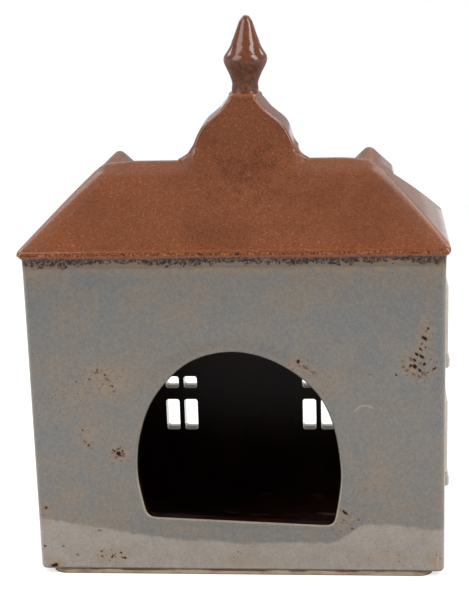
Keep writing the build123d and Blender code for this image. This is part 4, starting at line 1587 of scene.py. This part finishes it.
class TEALIGHT_OT_nodes(bpy.types.Operator):
    """Glaze the pieces that keep their solid's shape"""

    bl_idname = "tealight.nodes"
    bl_label = "Glaze the solids"

    def execute(self, context):
        for finish, names in NODE_FINISHES.items():
            for name in names:
                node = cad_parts[name]
                node.data.materials.clear()
                node.data.materials.append(material_of(finish))
        return {"FINISHED"}


# Stage
CAMERA_PLACE = (0.05246, -0.60461, 0.27021)
CAMERA_PITCH = math.radians(15.0)
CAMERA_YAW = math.radians(-5.2)
CAMERA_ROLL = math.radians(-1.74)
CAMERA_LENS = 90.0
CAMERA_SENSOR = 36.0
LIGHT_TARGET = Vector((0, 0, 0.11))
SOFTBOXES = (
    # name, azimuth and elevation from the rear, half angles, distance, radiance
    ("left_softbox", -51.5, 32.0, 19.0, 27.0, 1.1, 2.5),
    ("right_softbox", 63.0, 32.0, 11.0, 27.0, 1.1, 4.9),
    ("far_left_softbox", -140.0, 42.0, 20.0, 14.0, 1.2, 3.4),
    ("far_right_softbox", 150.0, 42.0, 20.0, 14.0, 1.2, 3.4),
)
WHITE = (1.0, 1.0, 1.0, 1.0)
FLOOR_GREY = (0.6, 0.6, 0.6, 1.0)
FLOOR_SIZE = 8.0
FLOOR_GLOW = 0.62
FLOOR_SHADOW_REACH = (0.16, 0.75)
FLOOR_DIM_REACH = (0.16, 0.40)
FLOOR_DIM = 0.85
SKY_LEVEL = 0.30
DOME_LEVEL = 0.12
DOME_GLOW = 0.32
DOME_UP_REACH = (0.6, 0.05)
DOME_AWAY_REACH = (-0.55, 0.25)


class TEALIGHT_OT_stage(bpy.types.Operator):
    """Add the floor, the softboxes, the surrounding light and the camera"""

    bl_idname = "tealight.stage"
    bl_label = "Stage"

    def execute(self, context):
        self.floor()
        self.surroundings(context)
        for softbox in SOFTBOXES:
            self.softbox(*softbox)
        self.camera(context)
        context.scene.view_settings.view_transform = "Standard"
        return {"FINISHED"}

    def floor(self):
        """A grey floor that the camera sees as white, with the object's shadow on it near the
        object, and that reflections see dimmer where it lies before the object."""
        half = FLOOR_SIZE / 2
        corners = [(-half, -half, 0), (half, -half, 0), (half, half, 0), (-half, half, 0)]
        mesh = bpy.data.meshes.new("floor")
        mesh.from_pydata(corners, [], [(0, 1, 2, 3)])
        material = bpy.data.materials.new("floor")
        recipe = Recipe(material)
        seen = recipe.ray("Camera").most(recipe.ray("Glossy")).most(recipe.ray("Transmission"))
        far = recipe.length(recipe.place).step(*FLOOR_SHADOW_REACH)
        before = -recipe.split(recipe.place)[1]
        dim = 1 - recipe.ray("Glossy") * before.step(*FLOOR_DIM_REACH) * FLOOR_DIM
        matt = recipe.node("ShaderNodeBsdfDiffuse", inputs={"Color": FLOOR_GREY})
        glow = recipe.node("ShaderNodeEmission", inputs={"Color": WHITE, "Strength": FLOOR_GLOW})
        near = recipe.node("ShaderNodeAddShader", inputs={0: matt, 1: glow})
        white = recipe.node("ShaderNodeEmission", inputs={"Color": WHITE, "Strength": dim})
        recipe.end(recipe.mix(seen, matt, recipe.mix(far, near, white)))
        mesh.materials.append(material)
        floor = add_object("floor", mesh)

    def surroundings(self, context):
        """A world that is white to the camera, a plain level for lighting, and for
        reflections a dome that is brightest low down behind the object."""
        world = bpy.data.worlds.new("surroundings")
        context.scene.world = world
        recipe = Recipe(world, "Generated")
        _, away, up = recipe.split(recipe.place)
        glossy = recipe.ray("Glossy")
        behind = up.step(*DOME_UP_REACH) * away.step(*DOME_AWAY_REACH)
        dome = behind * DOME_GLOW + DOME_LEVEL
        level = recipe.ray("Camera").most(glossy * dome).most((1 - glossy) * SKY_LEVEL)
        sky = recipe.node("ShaderNodeBackground", inputs={"Color": WHITE, "Strength": level})
        recipe.end(sky, "ShaderNodeOutputWorld")

    def softbox(self, name, azimuth, elevation, half_across, half_up, distance, radiance):
        """A rectangular lamp that fills the given half angles and faces the object."""
        azimuth, elevation = math.radians(azimuth), math.radians(elevation)
        heading = Vector((
            math.sin(azimuth) * math.cos(elevation),
            -math.cos(azimuth) * math.cos(elevation),
            math.sin(elevation),
        ))
        lamp = bpy.data.lights.new(name, "AREA")
        lamp.shape = "RECTANGLE"
        lamp.size = 2 * distance * math.tan(math.radians(half_across))
        lamp.size_y = 2 * distance * math.tan(math.radians(half_up))
        lamp.energy = radiance * math.pi * lamp.size * lamp.size_y
        light = add_object(name, lamp)
        light.location = LIGHT_TARGET + heading * distance
        light.rotation_euler = heading.to_track_quat("Z", "Y").to_euler()
        light.visible_camera = False

    def camera(self, context):
        """The camera, turned by its yaw and pitch and then rolled about its view."""
        lens = bpy.data.cameras.new("camera")
        lens.lens = CAMERA_LENS
        lens.sensor_width = CAMERA_SENSOR
        forward = Vector((
            math.sin(CAMERA_YAW) * math.cos(CAMERA_PITCH),
            math.cos(CAMERA_YAW) * math.cos(CAMERA_PITCH),
            -math.sin(CAMERA_PITCH),
        ))
        level = Vector((math.cos(CAMERA_YAW), -math.sin(CAMERA_YAW), 0))
        upright_way = level.cross(forward)
        right = level * math.cos(CAMERA_ROLL) + upright_way * math.sin(CAMERA_ROLL)
        up = upright_way * math.cos(CAMERA_ROLL) - level * math.sin(CAMERA_ROLL)
        turned = Matrix((right, up, -forward)).transposed().to_4x4()
        turned.translation = CAMERA_PLACE
        camera = add_object("camera", lens)
        camera.matrix_world = turned
        context.scene.camera = camera


class TEALIGHT_PT_panel(bpy.types.Panel):
    """Pieces and glazes of the tealight house"""

    bl_label = "Tealight House"
    bl_idname = "TEALIGHT_PT_panel"
    bl_space_type = "VIEW_3D"
    bl_region_type = "UI"
    bl_category = "Tealight House"

    def draw(self, context):
        for group in (context.scene.tealight_shape, context.scene.tealight_glazes):
            box = self.layout.box()
            for name in group.__annotations__:
                box.prop(group, name)
        for operator in OPERATORS:
            self.layout.operator(operator.bl_idname)


OPERATORS = (
    TEALIGHT_OT_nodes,
    TEALIGHT_OT_rear_wall,
    TEALIGHT_OT_moulding,
    TEALIGHT_OT_roof,
    TEALIGHT_OT_crest,
    TEALIGHT_OT_finial,
    TEALIGHT_OT_stage,
)
CLASSES = (GlazeColours, HouseShape, *OPERATORS, TEALIGHT_PT_panel)


def register():
    for cls in CLASSES:
        bpy.utils.register_class(cls)
    bpy.types.Scene.tealight_glazes = PointerProperty(type=GlazeColours)
    bpy.types.Scene.tealight_shape = PointerProperty(type=HouseShape)


def unregister():
    del bpy.types.Scene.tealight_shape
    del bpy.types.Scene.tealight_glazes
    for cls in reversed(CLASSES):
        bpy.utils.unregister_class(cls)


def main():
    register()
    bpy.ops.tealight.nodes()
    bpy.ops.tealight.rear_wall()
    bpy.ops.tealight.moulding()
    bpy.ops.tealight.roof()
    bpy.ops.tealight.crest()
    bpy.ops.tealight.finial()
    bpy.ops.tealight.stage()


if __name__ == "__main__":
    main()
